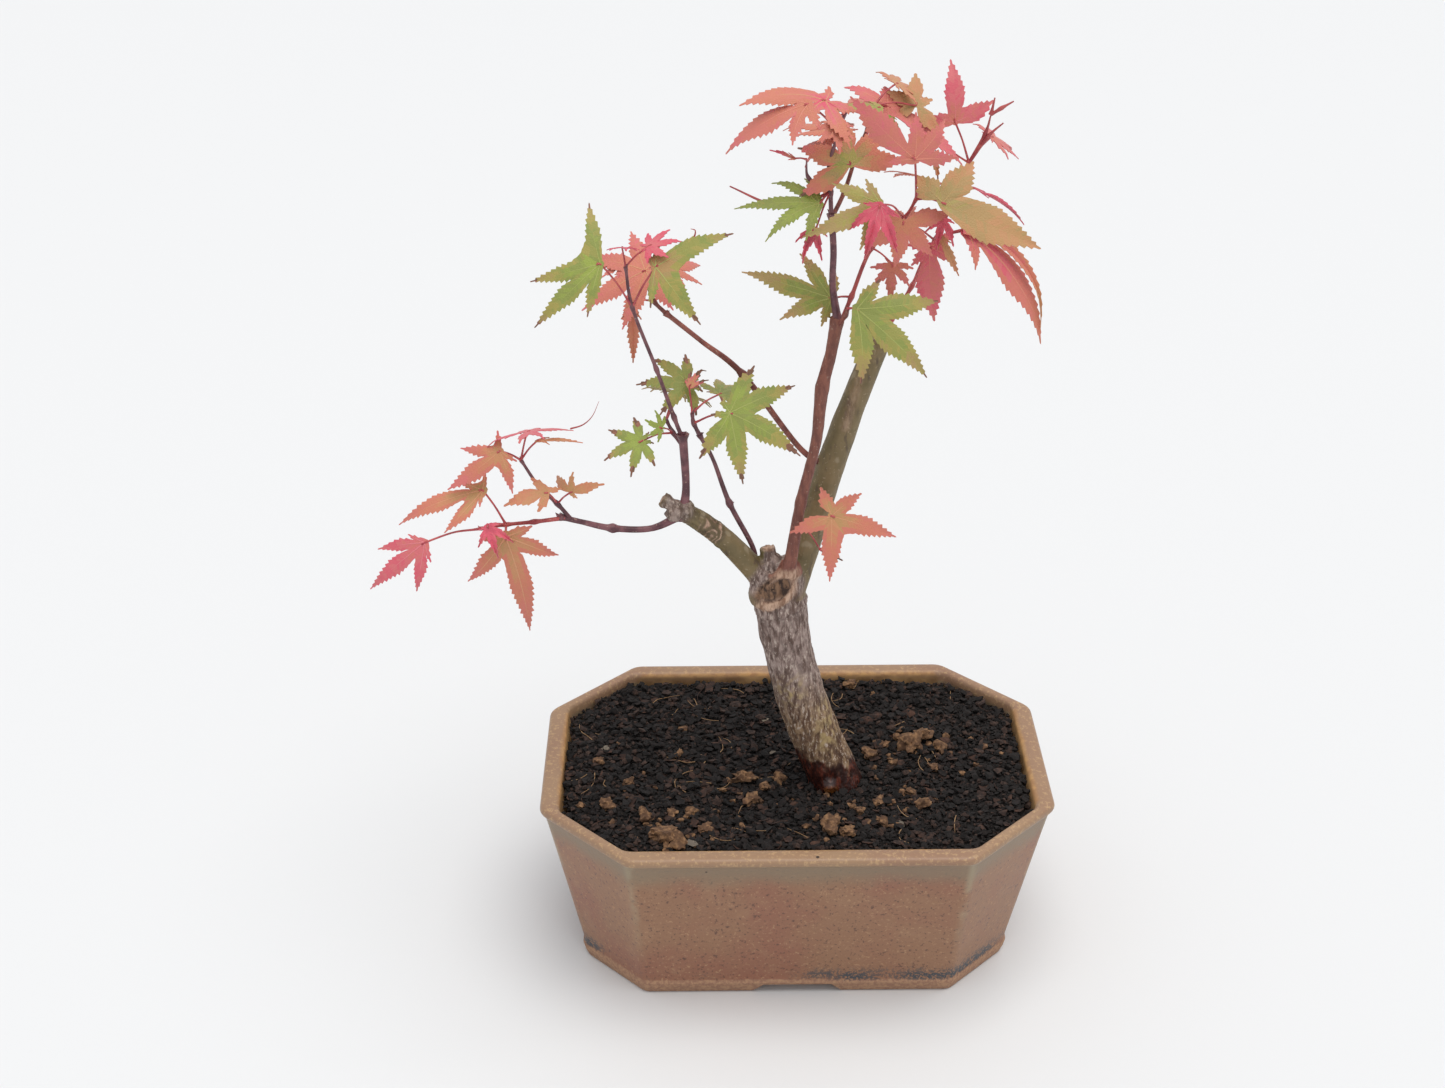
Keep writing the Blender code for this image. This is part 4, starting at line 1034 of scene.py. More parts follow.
def wood_finish():
    """Bark of an old trunk, grey-brown and finely cracked, on smooth olive boughs. The attributes say
    where bark is young, red or wet, where it is pale (a painted highlight on the trunk, and the young
    bark's own pale spots), where cut wood shows, and where cracks and a painted shade darken it."""
    mat, add, shader = finish_of("maple_bark", 0.8)
    at = add("TexCoord", out="Object")
    stretched = add("Mapping", at, None, None, (1, 1, 0.3))
    has = {}
    for name in BARK_NOTES:
        has[name] = add("Attribute", attribute_name=name, out="Fac")
    fine = add("TexNoise", stretched, 0.5 / (0.9 * MM), 4, 0.65)
    blotch = add("TexNoise", at, 0.5 / (6 * MM), 3, 0.55)
    low_down = add("MapRange", add("SeparateXYZ", at, out="Z"), HOME.z + 128 * MM, HOME.z + 98 * MM)
    old = add("Mix", add("MapRange", fine, 0.36, 0.6), "66524a", "a6928a")
    warm = add("Mix", add("MapRange", fine, 0.36, 0.62), "573d2c", "9a7f62")
    old = add("Mix", low_down, old, warm)
    old = add("Mix", add("MULTIPLY", add("MapRange", blotch, 0.5, 0.72), 0.5), old, "5f463a")
    flecks = add("MapRange", add("TexNoise", stretched, 0.5 / (0.45 * MM), 2, 0.8), 0.57, 0.64)
    old = add("Mix", add("MULTIPLY", flecks, 0.75), old, "c6b6a9")
    # Painted highlight: where the pale note comes from the trunk's patches, it lightens the old bark.
    old = add("Mix", add("MULTIPLY", has["pale"], add("MapRange", fine, 0.35, 0.6)), old, "ab9468")
    olive = add("Mix", add("MapRange", blotch, 0.35, 0.65), "6d5f3e", "857250")
    olive = add(
        "Mix",
        add("MapRange", add("TexNoise", stretched, 0.5 / (1.4 * MM), 3, 0.55), 0.55, 0.7),
        olive,
        "5d4d3a",
    )
    dots = add("MapRange", add("TexNoise", at, 0.5 / (0.5 * MM), 1, 0.55), 0.66, 0.72)
    olive = add("Mix", add("MULTIPLY", dots, 0.6), olive, "a8977a")
    olive = add("Mix", add("MULTIPLY", has["pale"], 0.6), olive, "a2947a")
    red = add("Mix", add("MapRange", fine, 0.35, 0.65), "6f4036", "8d5747")
    red = add("Mix", add("MULTIPLY", dots, 0.5), red, "a98d7c")
    colour = add("Mix", has["young"], old, olive)
    colour = add("Mix", has["red"], colour, red)
    foot = add("Mix", add("MapRange", fine, 0.45, 0.7), "2b110d", "6b3222")
    colour = add("Mix", has["wet"], colour, foot)
    heart = add("Mix", add("MapRange", fine, 0.36, 0.6), "947059", "d0ae96")
    orange = add("Mix", add("MapRange", fine, 0.4, 0.6), "8c4a20", "c9843f")
    heart = add("Mix", has["wet"], heart, orange)
    colour = add("Mix", has["cut"], colour, heart)
    gouge = add("Mix", add("MapRange", fine, 0.4, 0.6), "43322a", "8a6a52")
    colour = add("Mix", has["hollow"], colour, gouge)
    # Darkening by the crack note: cracks, marks and the long scar, and the painted shade on the trunk's
    # left.
    colour = add("Mix", add("MULTIPLY", has["crack"], 0.4), colour, "3f2f28")
    dull = add("SUBTRACT", 0.82, add("MULTIPLY", has["young"], 0.25))
    dull = add("SUBTRACT", dull, add("MULTIPLY", has["wet"], 0.4))
    bump = add("Bump", 1.0, 0.35 * MM, None, fine)
    wear(shader, {"Base Color": colour, "Roughness": dull, "Normal": bump})
    return mat


def near(spot, other, radius):
    """1 at the other spot, falling smoothly to 0 at the radius."""
    return 1 - ease((spot - Vector(other)).length, 0, radius)


def trunk_at(height):
    """The middle and the radius of the trunk at a height."""
    for (low, low_radius), (high, high_radius) in zip(TRUNK, TRUNK[1:]):
        if low[2] <= height <= high[2]:
            share = (height - low[2]) / (high[2] - low[2])
            return Vector(low).lerp(Vector(high), share), low_radius + (high_radius - low_radius) * share
    return Vector(TRUNK[-1][0]), TRUNK[-1][1]


def make_wood():
    """Trunk and main boughs: tubes grown together, cut stubs, a healed scar and carved bark."""
    heap = Heap()
    boughs = (("trunk", TRUNK), ("left", BOUGH_LEFT), ("right", BOUGH_RIGHT), ("front", BOUGH_FRONT))
    samples = []
    for name, points in boughs:
        path = smooth_path(points, 1.5)
        if name != "trunk":
            path = path[:-1] + [(path[-1][0], path[-1][1] * 0.9)]
        add_tube(heap, path, 28)
        run = 0.0
        for (a, _), (b, radius) in zip(path, path[1:]):
            run += (b - a).length
            samples.append((name, run, b, (b - a).normalized(), radius))
    for points in (STUB, LEFT_CUT, ROOT_CUT):
        add_tube(heap, smooth_path(points, 1.0), 20)
    scar = []
    for i in range(37):
        turn = math.radians(-178 + 240 * i / 36)
        spot = SCAR_MIDDLE + SCAR_LONG * math.cos(turn) + SCAR_SHORT * math.sin(turn)
        middle, radius = trunk_at(spot.z)
        out = Vector((spot.x - middle.x, spot.y - middle.y, 0))
        spot += out.normalized() * (radius - 0.7 - out.length)
        scar.append((spot, 1.1 + 0.9 * math.sin(math.pi * i / 36) + 0.2 * math.sin(i)))
    add_tube(heap, scar, 14)
    for spot, radius in HEAD_LUMPS + LEFT_LUMPS:
        lump = bmesh.new()
        bmesh.ops.create_uvsphere(lump, u_segments=24, v_segments=16, radius=radius)
        corners = [vert.co + Vector(spot) for vert in lump.verts]
        heap.add(corners, [tuple(vert.index for vert in face.verts) for face in lump.faces])
        lump.free()
    wood = heap.made("old_wood", [wood_finish()])
    apply_modifier(wood, "remesh", "REMESH", mode="VOXEL", voxel_size=0.5 * MM)
    apply_modifier(wood, "smooth", "SMOOTH", factor=0.5, iterations=7)
    carve_bark(wood, samples)
    smooth_shade(wood, 70)
    return settle(wood, "grey_bark", "trunk", "bough_left", "bough_right", "bough_front")


def carve_bark(wood, samples):
    """Moves each corner by cracks, wrinkles, rings and scars, and notes what shows there."""
    tree = tree_of([sample[2] for sample in samples])
    scar_out = SCAR_LONG.cross(SCAR_SHORT).normalized()
    if scar_out.y > 0:
        scar_out = -scar_out
    notes = {name: [] for name in BARK_NOTES}
    mesh = wood.data
    normals = [vert.normal.copy() for vert in mesh.vertices]
    for vert, out in zip(mesh.vertices, normals):
        spot = (vert.co - HOME) / MM
        weights = {"trunk": 0.0, "left": 0.0, "right": 0.0, "front": 0.0}
        best = None
        for _, i, distance in tree.find_n(spot, 5):
            name, run, middle, ahead, radius = samples[i]
            weights[name] += 1 / max(0.2, distance - radius * 0.8) ** 2
            if best is None or distance - radius < best[0]:
                best = (distance - radius, run, middle, ahead, radius)
        total = sum(weights.values())
        trunk = weights["trunk"] / total
        red = weights["front"] / total * ease(spot.z, 164.5, 168)
        young = ease(1 - trunk, 0.3, 0.8) * (1 - ease(near(spot, OLD_HEAD, 19), 0.28, 0.5))
        knuckle = ease(near(spot, LEFT_KNUCKLE, 11), 0.15, 0.6)
        young *= 1 - 0.9 * knuckle
        _, run, middle, ahead, radius = best
        flat = spot - middle
        flat -= ahead * flat.dot(ahead)
        along = Vector((flat.x, flat.y, flat.z)) / 1.15 + ahead * (run / 6.0)
        bend = noise.noise(spot / 5) * 1.2
        wrinkle = noise.noise(along + Vector((bend, 0, 0)))
        knob = noise.noise(spot / 7)
        crack = ease(-wrinkle, 0.1, 0.42) * (1 - young)
        # The plane of the healed scar: long and short are 1 at its rolled edge.
        off = spot - SCAR_MIDDLE
        long = off.dot(SCAR_LONG) / SCAR_LONG.length_squared
        short = off.dot(SCAR_SHORT) / SCAR_SHORT.length_squared
        reach = math.hypot(long, short)
        facing = ease(off.dot(scar_out), -5, -1)
        hollow = (1 - ease(reach, 0.55, 0.95)) * facing
        roll = ease(reach, 0.6, 0.85) * (1 - ease(reach, 1.25, 1.55)) * facing
        roll *= ease(long - short, -1.3, -0.3)
        hollow = max(hollow, facing * (1 - ease(reach, 0.9, 1.2)) * ease(short - long, 0.2, 0.9))
        cut = 0.9 * roll
        cut = max(cut, ease(spot.z, 174.8, 175.5) * near(spot, STUB[-1][0], 5))
        beyond = ease((spot - LEFT_CUT_FACE).dot(LEFT_CUT_WAY), 0, 0.7)
        cut = max(cut, near(spot, (-51.2, -17, 201), 3.4) ** 0.5 * beyond)
        root = near(spot, ROOT_FACE, 4.2)
        top, bottom = LONG_SCAR
        scar_along = (spot - top).dot((bottom - top).normalized())
        scar_line = top.lerp(bottom, min(1, max(0, scar_along / 18.7)))
        slit = near(spot, scar_line, 3.6)
        contour = abs((noise.noise(spot / 6) * 2.6 + noise.noise(spot / 2) * 0.25) % 1 - 0.5)
        swirls = ease(near(spot, SWIRLS, 8.5), 0.12, 0.35)
        squiggle = swirls * ease(contour, 0.2, 0.06)
        wet_line = WET_HEIGHT - (spot.x - 12) * 0.35
        wet_line += 4.5 * noise.noise(spot / 3.5) + 1.5 * noise.noise(spot)
        wet = (1 - ease(spot.z, wet_line - 3, wet_line + 2)) * (1 - young)
        # Pale: a painted highlight from the trunk's patches, then the young bark's own pale spots.
        pale = sum(near(spot, middle, wide) for middle, wide in PAINTED_HIGHLIGHT_PATCHES)
        pale = min(1.0, pale) * ease(noise.noise(spot / 2.2 + Vector((7, 3, 1))), -0.25, 0.25)
        pale = max(pale, young * (1 - red) * ease(noise.noise(spot / 4 + Vector((3, 9, 4))), 0.48, 0.6))
        # Painted shade: the patch darkens the trunk's front left through the crack note.
        dark = near(spot, PAINTED_SHADE_PATCH, 9) * 0.5 * (1 - young)
        # Rings: a crease under the trunk's head, and the swollen nodes of the boughs.
        ring = spot.z - HEAD_CREASE - 0.25 * (spot.x + 6)
        push = 0.55 * math.exp(-((ring - 1.5) / 1.6) ** 2) - 0.5 * math.exp(-(ring / 0.8) ** 2)
        push *= 1 - young
        for mark in FRONT_NODES:
            push += 0.45 * red * near(spot, mark, 4.5)
        for mark in RIGHT_NODES:
            push += 0.35 * (1 - red) * young * near(spot, mark, 7)
        mesh_line = abs(noise.noise(along * 2.1 + Vector((bend, 9, 0))))
        push += (1 - young) * (
            0.2 * wrinkle - 0.16 * crack + 0.5 * knob - 0.22 * ease(mesh_line, 0.12, 0.0)
        )
        head = near(spot, KNOBBLY_HEAD, 15) * (1 - young) * (1 - roll)
        push += 1.3 * head * noise.noise(spot / 2.6) + 0.9 * knuckle * noise.noise(spot / 1.8)
        worn = young * (1 - red) * ease(spot.x, -22, -34)
        push += young * (0.1 * wrinkle + 0.15 * knob) + worn * (
            0.35 * wrinkle - 0.25 * ease(mesh_line, 0.1, 0.0)
        )
        push -= hollow * (1.9 + 0.7 * noise.noise(spot / 1.5))
        push += roll * 0.3 * noise.noise(spot / 3)
        push -= 0.5 * slit * (1 - red)
        vert.co += (out * push) * MM
        values = {
            "young": young,
            "red": ease(red, 0.3, 0.7),
            "wet": wet,
            "pale": pale,
            "cut": min(1, max(cut, 0.5 * slit * (1 - red), squiggle, 0.9 * root)),
            "hollow": hollow,
            "crack": min(
                1,
                max(
                    crack * (1 - cut),
                    dark,
                    worn * ease(-wrinkle, 0.0, 0.3),
                    swirls * (1 - squiggle),
                    0.8 * slit * ease(wrinkle, 0.0, 0.2) * (1 - red),
                ),
            ),
        }
        for name, value in values.items():
            notes[name].append(value)
    for name, values in notes.items():
        mesh.attributes.new(name, "FLOAT", "POINT").data.foreach_set("value", values)


# Twigs.


def bark_finish(name, dark, light, roughness):
    """Smooth bark of a young shoot: a thin glossy skin with fine lengthwise grain and pale pores."""
    mat, add, shader = finish_of(name, roughness)
    at = add("TexCoord", out="Object")
    tone = add("MapRange", add("TexNoise", at, 0.5 / (2.5 * MM), 4, 0.55), 0.35, 0.65)
    colour = add("Mix", tone, dark, light)
    pores = add("MapRange", add("TexNoise", at, 0.5 / (0.5 * MM), 1, 0.55), 0.68, 0.74)
    colour = add("Mix", add("MULTIPLY", pores, 0.5), colour, "b59a88")
    grain = add("TexNoise", at, 0.5 / (0.5 * MM), 3, 0.55)
    wear(shader, {"Base Color": colour, "Normal": add("Bump", 1.0, 0.12 * MM, None, grain)})
    return mat


BARKS = ("purple_bark", "red_bark", "young_shoot")


def add_twig(heap, points, nodes, look):
    """A twig with a slight zigzag taper, swollen at its nodes."""
    marks = [Vector(points[i][0]) for i in nodes]
    path = []
    for spot, radius in smooth_path(points, 0.9):
        swell = max([near(spot, mark, 2.4) for mark in marks], default=0)
        path.append((spot, radius * (0.84 + 0.42 * swell)))
    add_tube(heap, path, 9, look)


def add_bud(heap, spot, ahead, size, look):
    """A pointed bud."""
    ahead = Vector(ahead).normalized()
    run = ((-0.2, 0.3), (0.25, 0.62), (0.6, 0.5), (1.1, 0.26), (1.6, 0.05))
    add_tube(heap, [(Vector(spot) + ahead * step * size, radius * size) for step, radius in run], 6, look)


CURLS = (  # dry curled tips: their points, and the radius at the start
    (((-41.0, -15.5, 297.5), (-38.4, -14.5, 300.0), (-37.8, -14.2, 302.6), (-39.4, -14.2, 303.2)), 0.5),
    (((-83.0, -22.5, 231.5), (-78.5, -22.0, 232.8), (-75.0, -21.5, 236.0), (-72.5, -21.0, 241.5)), 0.35),
)


def make_twigs():
    """The thin limbs, and the stems and side shoots of the foliage."""
    rng = random.Random(5)
    heap = Heap()
    for points, nodes, bark in LIMBS.values():
        look = BARKS.index(bark)
        add_twig(heap, points, nodes, look)
        for i in nodes:
            for side in (-1, 1):
                add_bud(heap, points[i][0], (side * 0.8, -0.3 * side, rng.uniform(0.3, 1)), 1.3, look)
    for spec in MASSES.values():
        stem = spec["stem"]
        look = BARKS.index(spec["bark"])
        last = len(stem) - 1
        points = [(spot, 1.0 - 0.35 * i / last) for i, spot in enumerate(stem)]
        add_twig(heap, points, range(1, last + 1), look)
        for i in range(1, last + 1):
            add_bud(heap, stem[i], (rng.uniform(-1, 1), rng.uniform(-1, 1), 1.0), 0.9, look)
        tips = {}
        for shoot, (start, *marks) in spec.get("shoots", {}).items():
            first = tips[start] if start in tips else stem[start]
            run = [(first, 0.75)] + [(mark, 0.65) for mark in marks]
            run[-1] = (marks[-1], 0.3)
            add_twig(heap, run, (len(run) - 2,), 0 if shoot == "spur" else 2)
            tips[shoot] = marks[-1]
    for points, radius in CURLS:
        run = [(spot, radius * (1 - 0.8 * i / (len(points) - 1))) for i, spot in enumerate(points)]
        add_tube(heap, smooth_path(run, 0.6), 6, 2)
    finishes = [
        bark_finish("purple_bark", "56323a", "83555a", 0.42),
        bark_finish("red_bark", "68352f", "96584c", 0.42),
        bark_finish("young_shoot", "9c3f44", "bb5a58", 0.4),
    ]
    twigs = heap.made("twigs", finishes)
    smooth_shade(twigs, 60)
    return settle(twigs, "dark_bark", *LIMBS, *MASSES)


# Leaves.


def leaf_finish(name, code):
    """A thin dull leaf: one plain tint, a waxy surface and the finest net of veins as relief."""
    mat, add, shader = finish_of("leaf_" + name, 0.55, code, sheen=0.15)
    at = add("TexCoord", out="Object")
    cells = add("TexVoronoi", at, 1 / (0.9 * MM), feature="DISTANCE_TO_EDGE", out="Distance")
    bump = add("Bump", 1.0, 0.05 * MM, None, add("MapRange", cells, 0.0, 0.25))
    wear(shader, {"Normal": bump})
    return mat


def tint_finishes():
    """The finishes of all leaf tints, with one halfway between each two neighbours."""
    made = []
    for (name, code), (after, next_code) in zip(LEAF_TINTS, LEAF_TINTS[1:]):
        pairs = [(int(code[i : i + 2], 16), int(next_code[i : i + 2], 16)) for i in (0, 2, 4)]
        halfway = "".join(f"{(a + b) // 2:02x}" for a, b in pairs)
        made += [leaf_finish(name, code), leaf_finish(f"{name}_to_{after}", halfway)]
    made.append(leaf_finish(*LEAF_TINTS[-1]))
    return made


def leaf_axes(blade, facing):
    """The leaf's own axes: across, along its main lobe, and the way its face looks."""
    lean = math.radians(facing)
    ahead = blade.normalized()
    face = Vector((0, -math.sin(lean), math.cos(lean)))
    face = (face - ahead * face.dot(ahead)).normalized()
    return ahead.cross(face), ahead, face


def margin(start, length, half, size):
    """Points (along, out) up one side of a lobe, from its sinus to its tip, with forward teeth."""
    begin, wide = start
    teeth = min(15, max(3, round(length * size / TOOTH_SPACING)))
    middle = max(LOBE_WIDEST * length, begin + 0.1 * length)
    points = []
    for j in range(2 * teeth + 1):
        share = j / (2 * teeth)
        along = begin + (length - begin) * share
        if along < middle:
            out = wide + (half - wide) * math.sin(math.pi / 2 * (along - begin) / (middle - begin))
        else:
            past = min(1.0, (along - middle) / (length - middle))
            out = half * (1 - past) ** 1.25 * (1 + 0.45 * past)
        depth = TOOTH_DEPTH / size * min(1.1, size / 24) * ease(share, 0.05, 0.35) * min(1.0, out / 0.05)
        depth *= 1 + 0.8 * noise.noise(Vector((along * size / 2.5, half * 90, length * 7)))
        if j % 2:
            along += 0.65 * (length - begin) / (2 * teeth) * ease(share, 0.05, 0.35)
            out += depth
        elif 0 < j < 2 * teeth:
            out -= depth * 0.7
        points.append((along, out))
    points[0] = (begin, wide)
    points[-1] = (length, 0.0)
    return points


def grow_leaf(base, blade, facing, form, tints, strays, rng, leaves, ribs):
    """Adds one leaf, and its veins, to the heaps."""
    across, ahead, face = leaf_axes(blade, facing)
    size = blade.length
    spread, half_width, lengths = LEAF_FORMS[form]
    lengths = list(lengths)
    if form in BASAL_LOBES:
        lengths[0] = lengths[-1] = BASAL_LOBES[form] * rng.uniform(0.8, 1.2)
    heart_tint, blade_tint, rim_tint, dry = tints
    crumpled = form in ("closed", "bunch")
    slender = form in ("slim", "strip")
    ripple = Vector([rng.uniform(-99, 99) for _ in range(3)])
    lobes = []
    for angle, length in zip(LOBE_ANGLES, lengths):
        if not length:
            continue
        bend = angle * spread + strays.get(angle, 0.0) * spread
        fold = rng.uniform(0.5, 0.95) if crumpled else rng.uniform(0.05, 0.32)
        if slender:
            fold = rng.uniform(0.5, 0.8)
        curl = rng.uniform(0.1, 0.35) if crumpled else rng.uniform(-0.02, 0.12)
        twist = rng.uniform(-0.5, 0.5) if crumpled else rng.uniform(-0.22, 0.22)
        bow = LOBE_BOWS.get(form, 0.0) + rng.uniform(-0.035, 0.035)
        lobes.append((angle * spread, bend, length, fold, curl, twist, bow))

    def spot_at(x, y, lift):
        drop = LEAF_DROOP * (x * x + y * y)
        wave = 0.016 * noise.noise(Vector((x * 2.5, y * 2.5, 0)) + ripple)
        return base + (across * x + ahead * y + face * (lift + wave - drop)) * size

    def corner(angle, reach, side=0.0, lift=0.0):
        turn = math.radians(angle)
        x = math.sin(turn) * reach + math.cos(turn) * side
        y = math.cos(turn) * reach - math.sin(turn) * side
        return spot_at(x, y, lift)

    corners = [corner(0, 0), corner(180, LEAF_HEEL)]
    faces, looks = [], []
    sinuses = [((lobes[0][0] - 180) / 2, LEAF_HEEL)]
    for low, high in zip(lobes, lobes[1:]):
        sinuses.append(((low[0] + high[0]) / 2, SINUS[0] * min(low[2], high[2]) + SINUS[1]))
    sinuses.append(((lobes[-1][0] + 180) / 2, LEAF_HEEL))
    first_sinus = len(corners)
    corners += [corner(*sinus) for sinus in sinuses]
    room = 0.85 * math.tan(math.radians(LOBE_ANGLES[-3] * spread / 2))
    blotches = Vector([rng.uniform(-99, 99) for _ in range(3)])

    def tint_at(along, length, side, spot):
        share = along / length
        tint = heart_tint + (blade_tint - heart_tint) * ease(along * (0.2 + 1.4 * side), 0.05, 0.5)
        tint += (rim_tint - tint) * max(ease(share, 0.45, 0.95), 0.75 * side**2)
        tint += 0.8 * noise.noise(spot / 5 + blotches) + rng.uniform(-0.3, 0.3)
        if dry and share > 1 - dry * (1.1 + 0.8 * noise.noise(spot / 3 + blotches)):
            tint = 12 + rng.uniform(0, 1.4)
        return min(2 * len(LEAF_TINTS) - 2, max(0, round(2 * tint)))

    for i, (_, bend, length, fold, curl, twist, bow) in enumerate(lobes):
        half = min(half_width * (0.5 + 0.5 * length), room * LOBE_WIDEST * length)
        sides = []
        for turn, reach in sinuses[i : i + 2]:
            off = math.radians(min(abs(turn - bend), 80))
            sides.append(margin((reach * math.cos(off), reach * math.sin(off)), length, half, size))
        left, right = sides
        count = min(len(left), len(right))
        rows = []
        middle_at = 0.0
        for j in range(count):
            reach = (left[j][0] + right[j][0]) / 2
            wide = (left[j][1] + right[j][1]) / 2
            middle_at = max(middle_at + 0.008, reach - VEIN_LEAN * wide)
            if j == count - 1:
                middle_at = length
            near_tip = max(0.0, (reach / length - 0.68) / 0.32)
            sag = -curl * near_tip**2 * length
            grip = ease(j, 0, 4)
            row = []
            across_row = (left[j], left[j], (middle_at, 0), right[j], right[j])
            for side, (along, out) in zip((-1, -0.5, 0, 0.5, 1), across_row):
                if abs(side) == 0.5:
                    along, out = (along + middle_at) / 2, out * 0.55
                sign = -1 if side < 0 else 1
                flat = out * math.cos(fold * grip)
                lift = sag + out * math.sin(fold * grip) - 0.25 * out * out / max(half, 0.02) * grip
                lift += sign * flat * twist * along
                aside = 4 * bow * along * (1 - along / length)
                row.append(corner(bend, along, sign * flat + aside, lift))
            rows.append(row)
        first = len(corners)
        start = [first_sinus + i, first, first + 1, first + 2, first_sinus + i + 1]
        corners += rows[0][1:4]
        heart_look = tint_at(0.05, length, 0, rows[0][2])
        for a, b in zip(start, start[1:]):
            faces.append((0, b, a))
            looks.append(heart_look)
        below = start
        for j in range(1, count):
            if j < count - 1:
                first = len(corners)
                above = list(range(first, first + 5))
                corners += rows[j]
            else:
                above = [len(corners)] * 5
                corners.append(rows[j][2])
            for c in range(4):
                quad = (below[c], below[c + 1], above[c + 1], above[c])
                if j == count - 1:
                    quad = quad[:3]
                faces.append(quad)
                side = (0.8, 0.3, 0.3, 0.8)[c]
                looks.append(tint_at(left[j][0], length, side, rows[j][c]))
            below = above
        # The veins: a rib up the middle of the lobe and a side vein to each tooth.
        scale = size / 30
        path = [(corners[0], 0.3 * scale)]
        path += [(row[2], 0.26 * scale * (1 - 0.8 * j / count)) for j, row in enumerate(rows)]
        add_tube(ribs, path, 5)
        for j in range(1, count - 1, 2):
            for outer in (0, 4):
                inner = 1 if outer == 0 else 3
                tip = rows[j][inner].lerp(rows[j][outer], 0.8)
                add_tube(ribs, [(rows[j][2], 0.15), (rows[j][inner], 0.13), (tip, 0.09)], 3)
    for a, b in ((first_sinus, 1), (1, first_sinus + len(sinuses) - 1)):
        faces.append((0, a, b))
        looks.append(tint_at(0.02, 1, 0, corners[1]))
    leaves.add(corners, faces, looks)


def main_tip(base, blade, facing, stray, spread):
    """Where the tip of the leaf's main lobe lies."""
    across, ahead, face = leaf_axes(blade, facing)
    turn = math.radians(stray * spread)
    spot = across * math.sin(turn) + ahead * math.cos(turn) - face * LEAF_DROOP
    return base + spot * blade.length


def fill_rows(stem, count, rng):
    """Leaf rows that the rule sets on the stem's upper nodes, heading back from the front."""
    nodes = len(stem) - 1
    low, high = FILL_HEADINGS
    rows = []
    for i in range(count):
        heading = math.radians(low + (high - low) * (i + rng.uniform(0.2, 0.8)) / count)
        rise = math.radians(rng.uniform(*FILL_RISE))
        out = Vector((math.cos(heading), math.sin(heading), 0))
        stalk = (out * math.cos(rise) + Vector((0, 0, math.sin(rise)))) * rng.uniform(*FILL_STALK)
        blade = (out + Vector((0, 0, rng.uniform(-0.4, 0.1)))).normalized() * rng.uniform(*FILL_BLADE)
        rows.append((nodes - i % nodes, stalk, blade, FILL_FACING, "hand", None))
    return rows


def add_stalk(heap, start, stalk, blade, scale):
    """A leaf stalk, thicker where it leaves its node, bowed a little upwards."""
    end = start + stalk
    middle = start + stalk * 0.5 + Vector((0, 0, 0.06 * stalk.length))
    points = (
        (start, 0.62 * scale),
        (start.lerp(middle, 0.25), 0.42 * scale),
        (middle, 0.34 * scale),
        (end, 0.38 * scale),
        (end + blade.normalized() * 1.2, 0.3 * scale),
    )
    add_tube(heap, smooth_path(points, 1.2), 6)


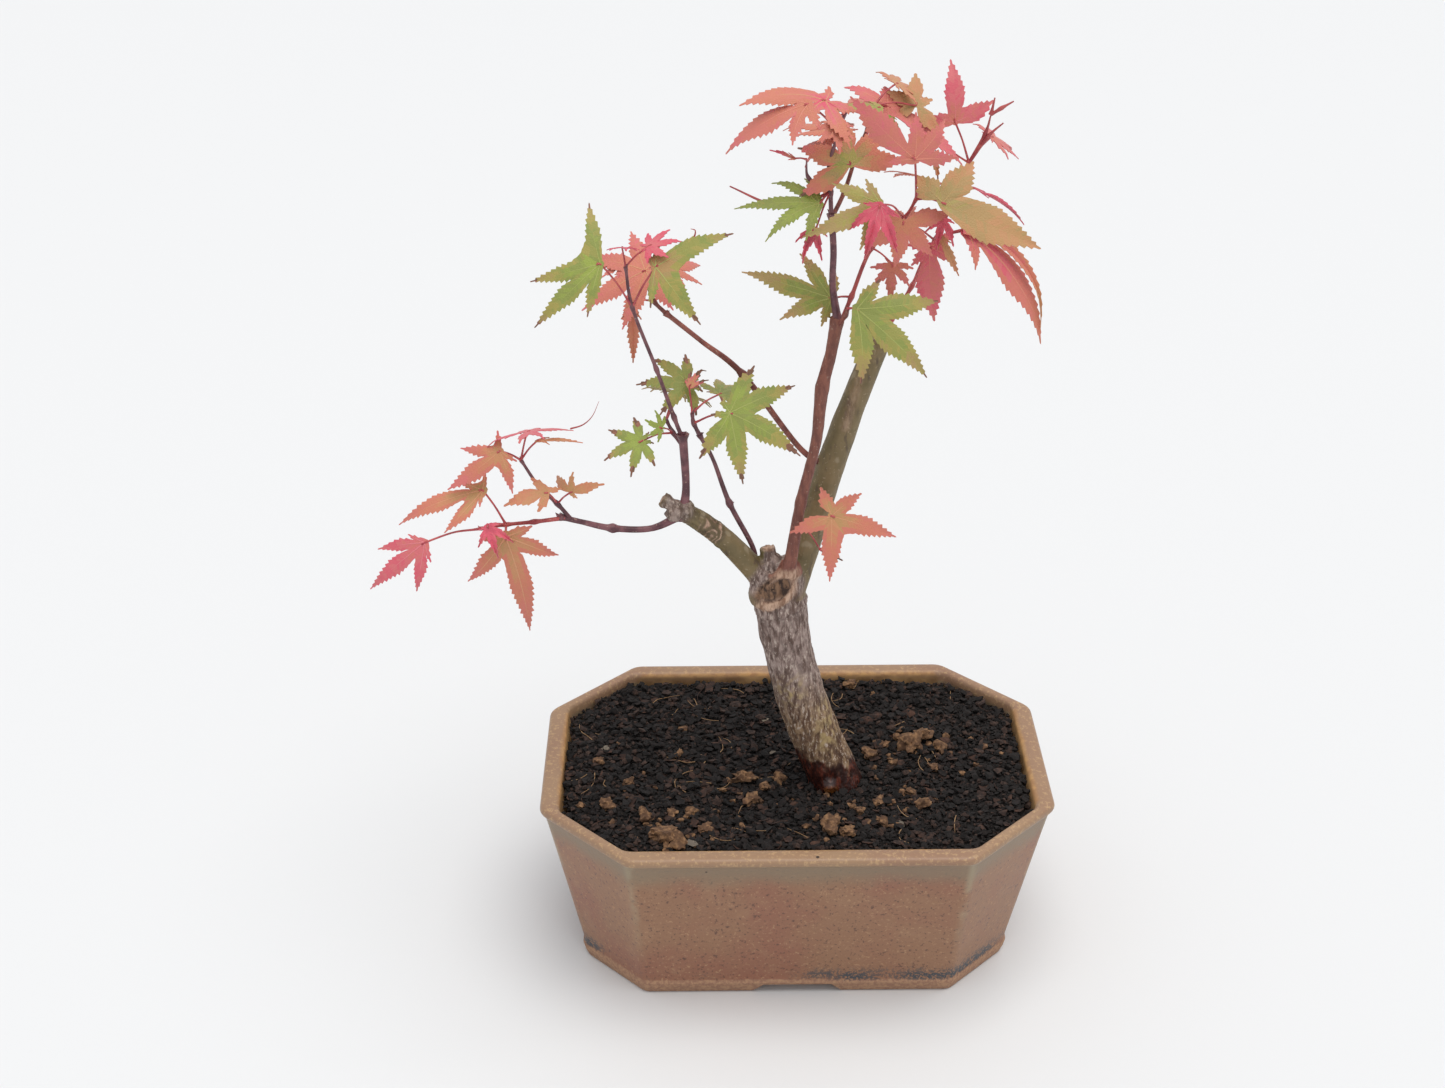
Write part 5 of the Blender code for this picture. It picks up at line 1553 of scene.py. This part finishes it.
def make_leaves():
    """Every leaf of every mass, grown by the model's rule, with toothed lobes, veins and stalks."""
    heaps = {name: (Heap(), Heap(), set()) for _, name, _ in LEAF_PIECES}
    stalks = Heap()
    for mass, spec in MASSES.items():
        rng = random.Random(mass)
        own = random.Random(mass + " detail")
        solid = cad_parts[mass].data
        tree = tree_of([vert.co for vert in solid.vertices])
        tips = {}
        for shoot, (start, *marks) in spec.get("shoots", {}).items():
            tips[shoot] = marks[-1]
        rows = [*spec["leaves"], *fill_rows(spec["stem"], spec["fill"], rng)]
        for start, stalk, blade, facing, form, tints in rows:
            start = Vector(tips[start] if start in tips else spec["stem"][start])
            stalk, blade = Vector(stalk), Vector(blade)
            strays = {}
            for angle, length in zip(LOBE_ANGLES, LEAF_FORMS[form][2]):
                if length:
                    strays[angle] = rng.uniform(-LOBE_STRAY, LOBE_STRAY)
            base = start + stalk
            tip = main_tip(base, blade, facing, strays[0], LEAF_FORMS[form][0])
            if tree.find(place(tip))[2] > 1.2 * MM:
                continue
            if tints is None:
                tint = own.uniform(*spec["tints"])
                tints = (tint - 0.5, tint, tint + 0.8, 0)
            name = next(name for limit, name, _ in LEAF_PIECES if tints[1] <= limit)
            leaves, ribs, masses = heaps[name]
            masses.add(mass)
            grow_leaf(base, blade, facing, form, tints, strays, own, leaves, ribs)
            add_stalk(stalks, start, stalk, blade, 0.8 + 0.3 * blade.length / 30)
    finishes = tint_finishes()
    for _, name, slot in LEAF_PIECES:
        leaves, ribs, masses = heaps[name]
        used = sorted(set(leaves.looks))
        leaves.looks = [used.index(look) for look in leaves.looks]
        piece = leaves.made(name, [finishes[look] for look in used])
        apply_modifier(piece, "thick", "SOLIDIFY", thickness=LEAF_THICKNESS * MM, offset=0.0)
        smooth_shade(piece, 45)
        settle(piece, slot, *sorted(masses))
        rib_name, rib_code = RIB_TINTS[name]
        veins = ribs.made(name.replace("leaves", "veins"), [leaf_finish(rib_name, rib_code)])
        settle(veins, slot)
    skin = bark_finish("leaf_stalk", "a63f49", "c45d5c", 0.45)
    petioles = stalks.made("leaf_stalks", [skin])
    smooth_shade(petioles, 60)
    settle(petioles, "pink_leaf")


# The studio.


def make_studio():
    """A plain pale floor, soft light all round and one wide lamp above."""
    bpy.ops.object.select_all(action="DESELECT")
    bpy.ops.mesh.primitive_plane_add(size=12, location=(0, 0, 0))
    floor = bpy.context.active_object
    floor.name = "floor"
    floor.data.materials.append(finish_of("pale_floor", 0.6, "e2e4e6")[0])
    world = bpy.data.worlds.new("soft_light")
    world.use_nodes = True
    back = world.node_tree.nodes["Background"]
    back.inputs["Color"].default_value = linear("f3f5f8")
    back.inputs["Strength"].default_value = SKY_STRENGTH
    bpy.context.scene.world = world
    lamp = bpy.data.lights.new("wide_lamp", "SUN")
    lamp.angle = math.radians(LAMP_SPREAD)
    lamp.energy = LAMP_STRENGTH
    lamp.color = linear("fffaf4")[:3]
    hung = bpy.data.objects.new("wide_lamp", lamp)
    bpy.context.scene.collection.objects.link(hung)
    hung.rotation_euler = (-Vector(LAMP_FROM)).to_track_quat("-Z", "Y").to_euler()


def make_camera():
    """The camera at the photograph's place."""
    data = bpy.data.cameras.new("camera")
    data.sensor_width = SENSOR_WIDTH
    data.lens = FOCAL_PIXELS / IMAGE_WIDTH * SENSOR_WIDTH
    data.clip_start = 0.01
    camera = bpy.data.objects.new("camera", data)
    bpy.context.scene.collection.objects.link(camera)
    turn = Euler([math.radians(angle) for angle in CAMERA_TURN])
    camera.matrix_world = Matrix.Translation(place(CAMERA_PLACE)) @ turn.to_matrix().to_4x4()
    bpy.context.scene.camera = camera


def main():
    """Everything in turn."""
    make_camera()
    make_studio()
    make_pot()
    make_soil()
    make_wood()
    make_twigs()
    make_leaves()
    bpy.context.scene.view_settings.view_transform = "Standard"


main()
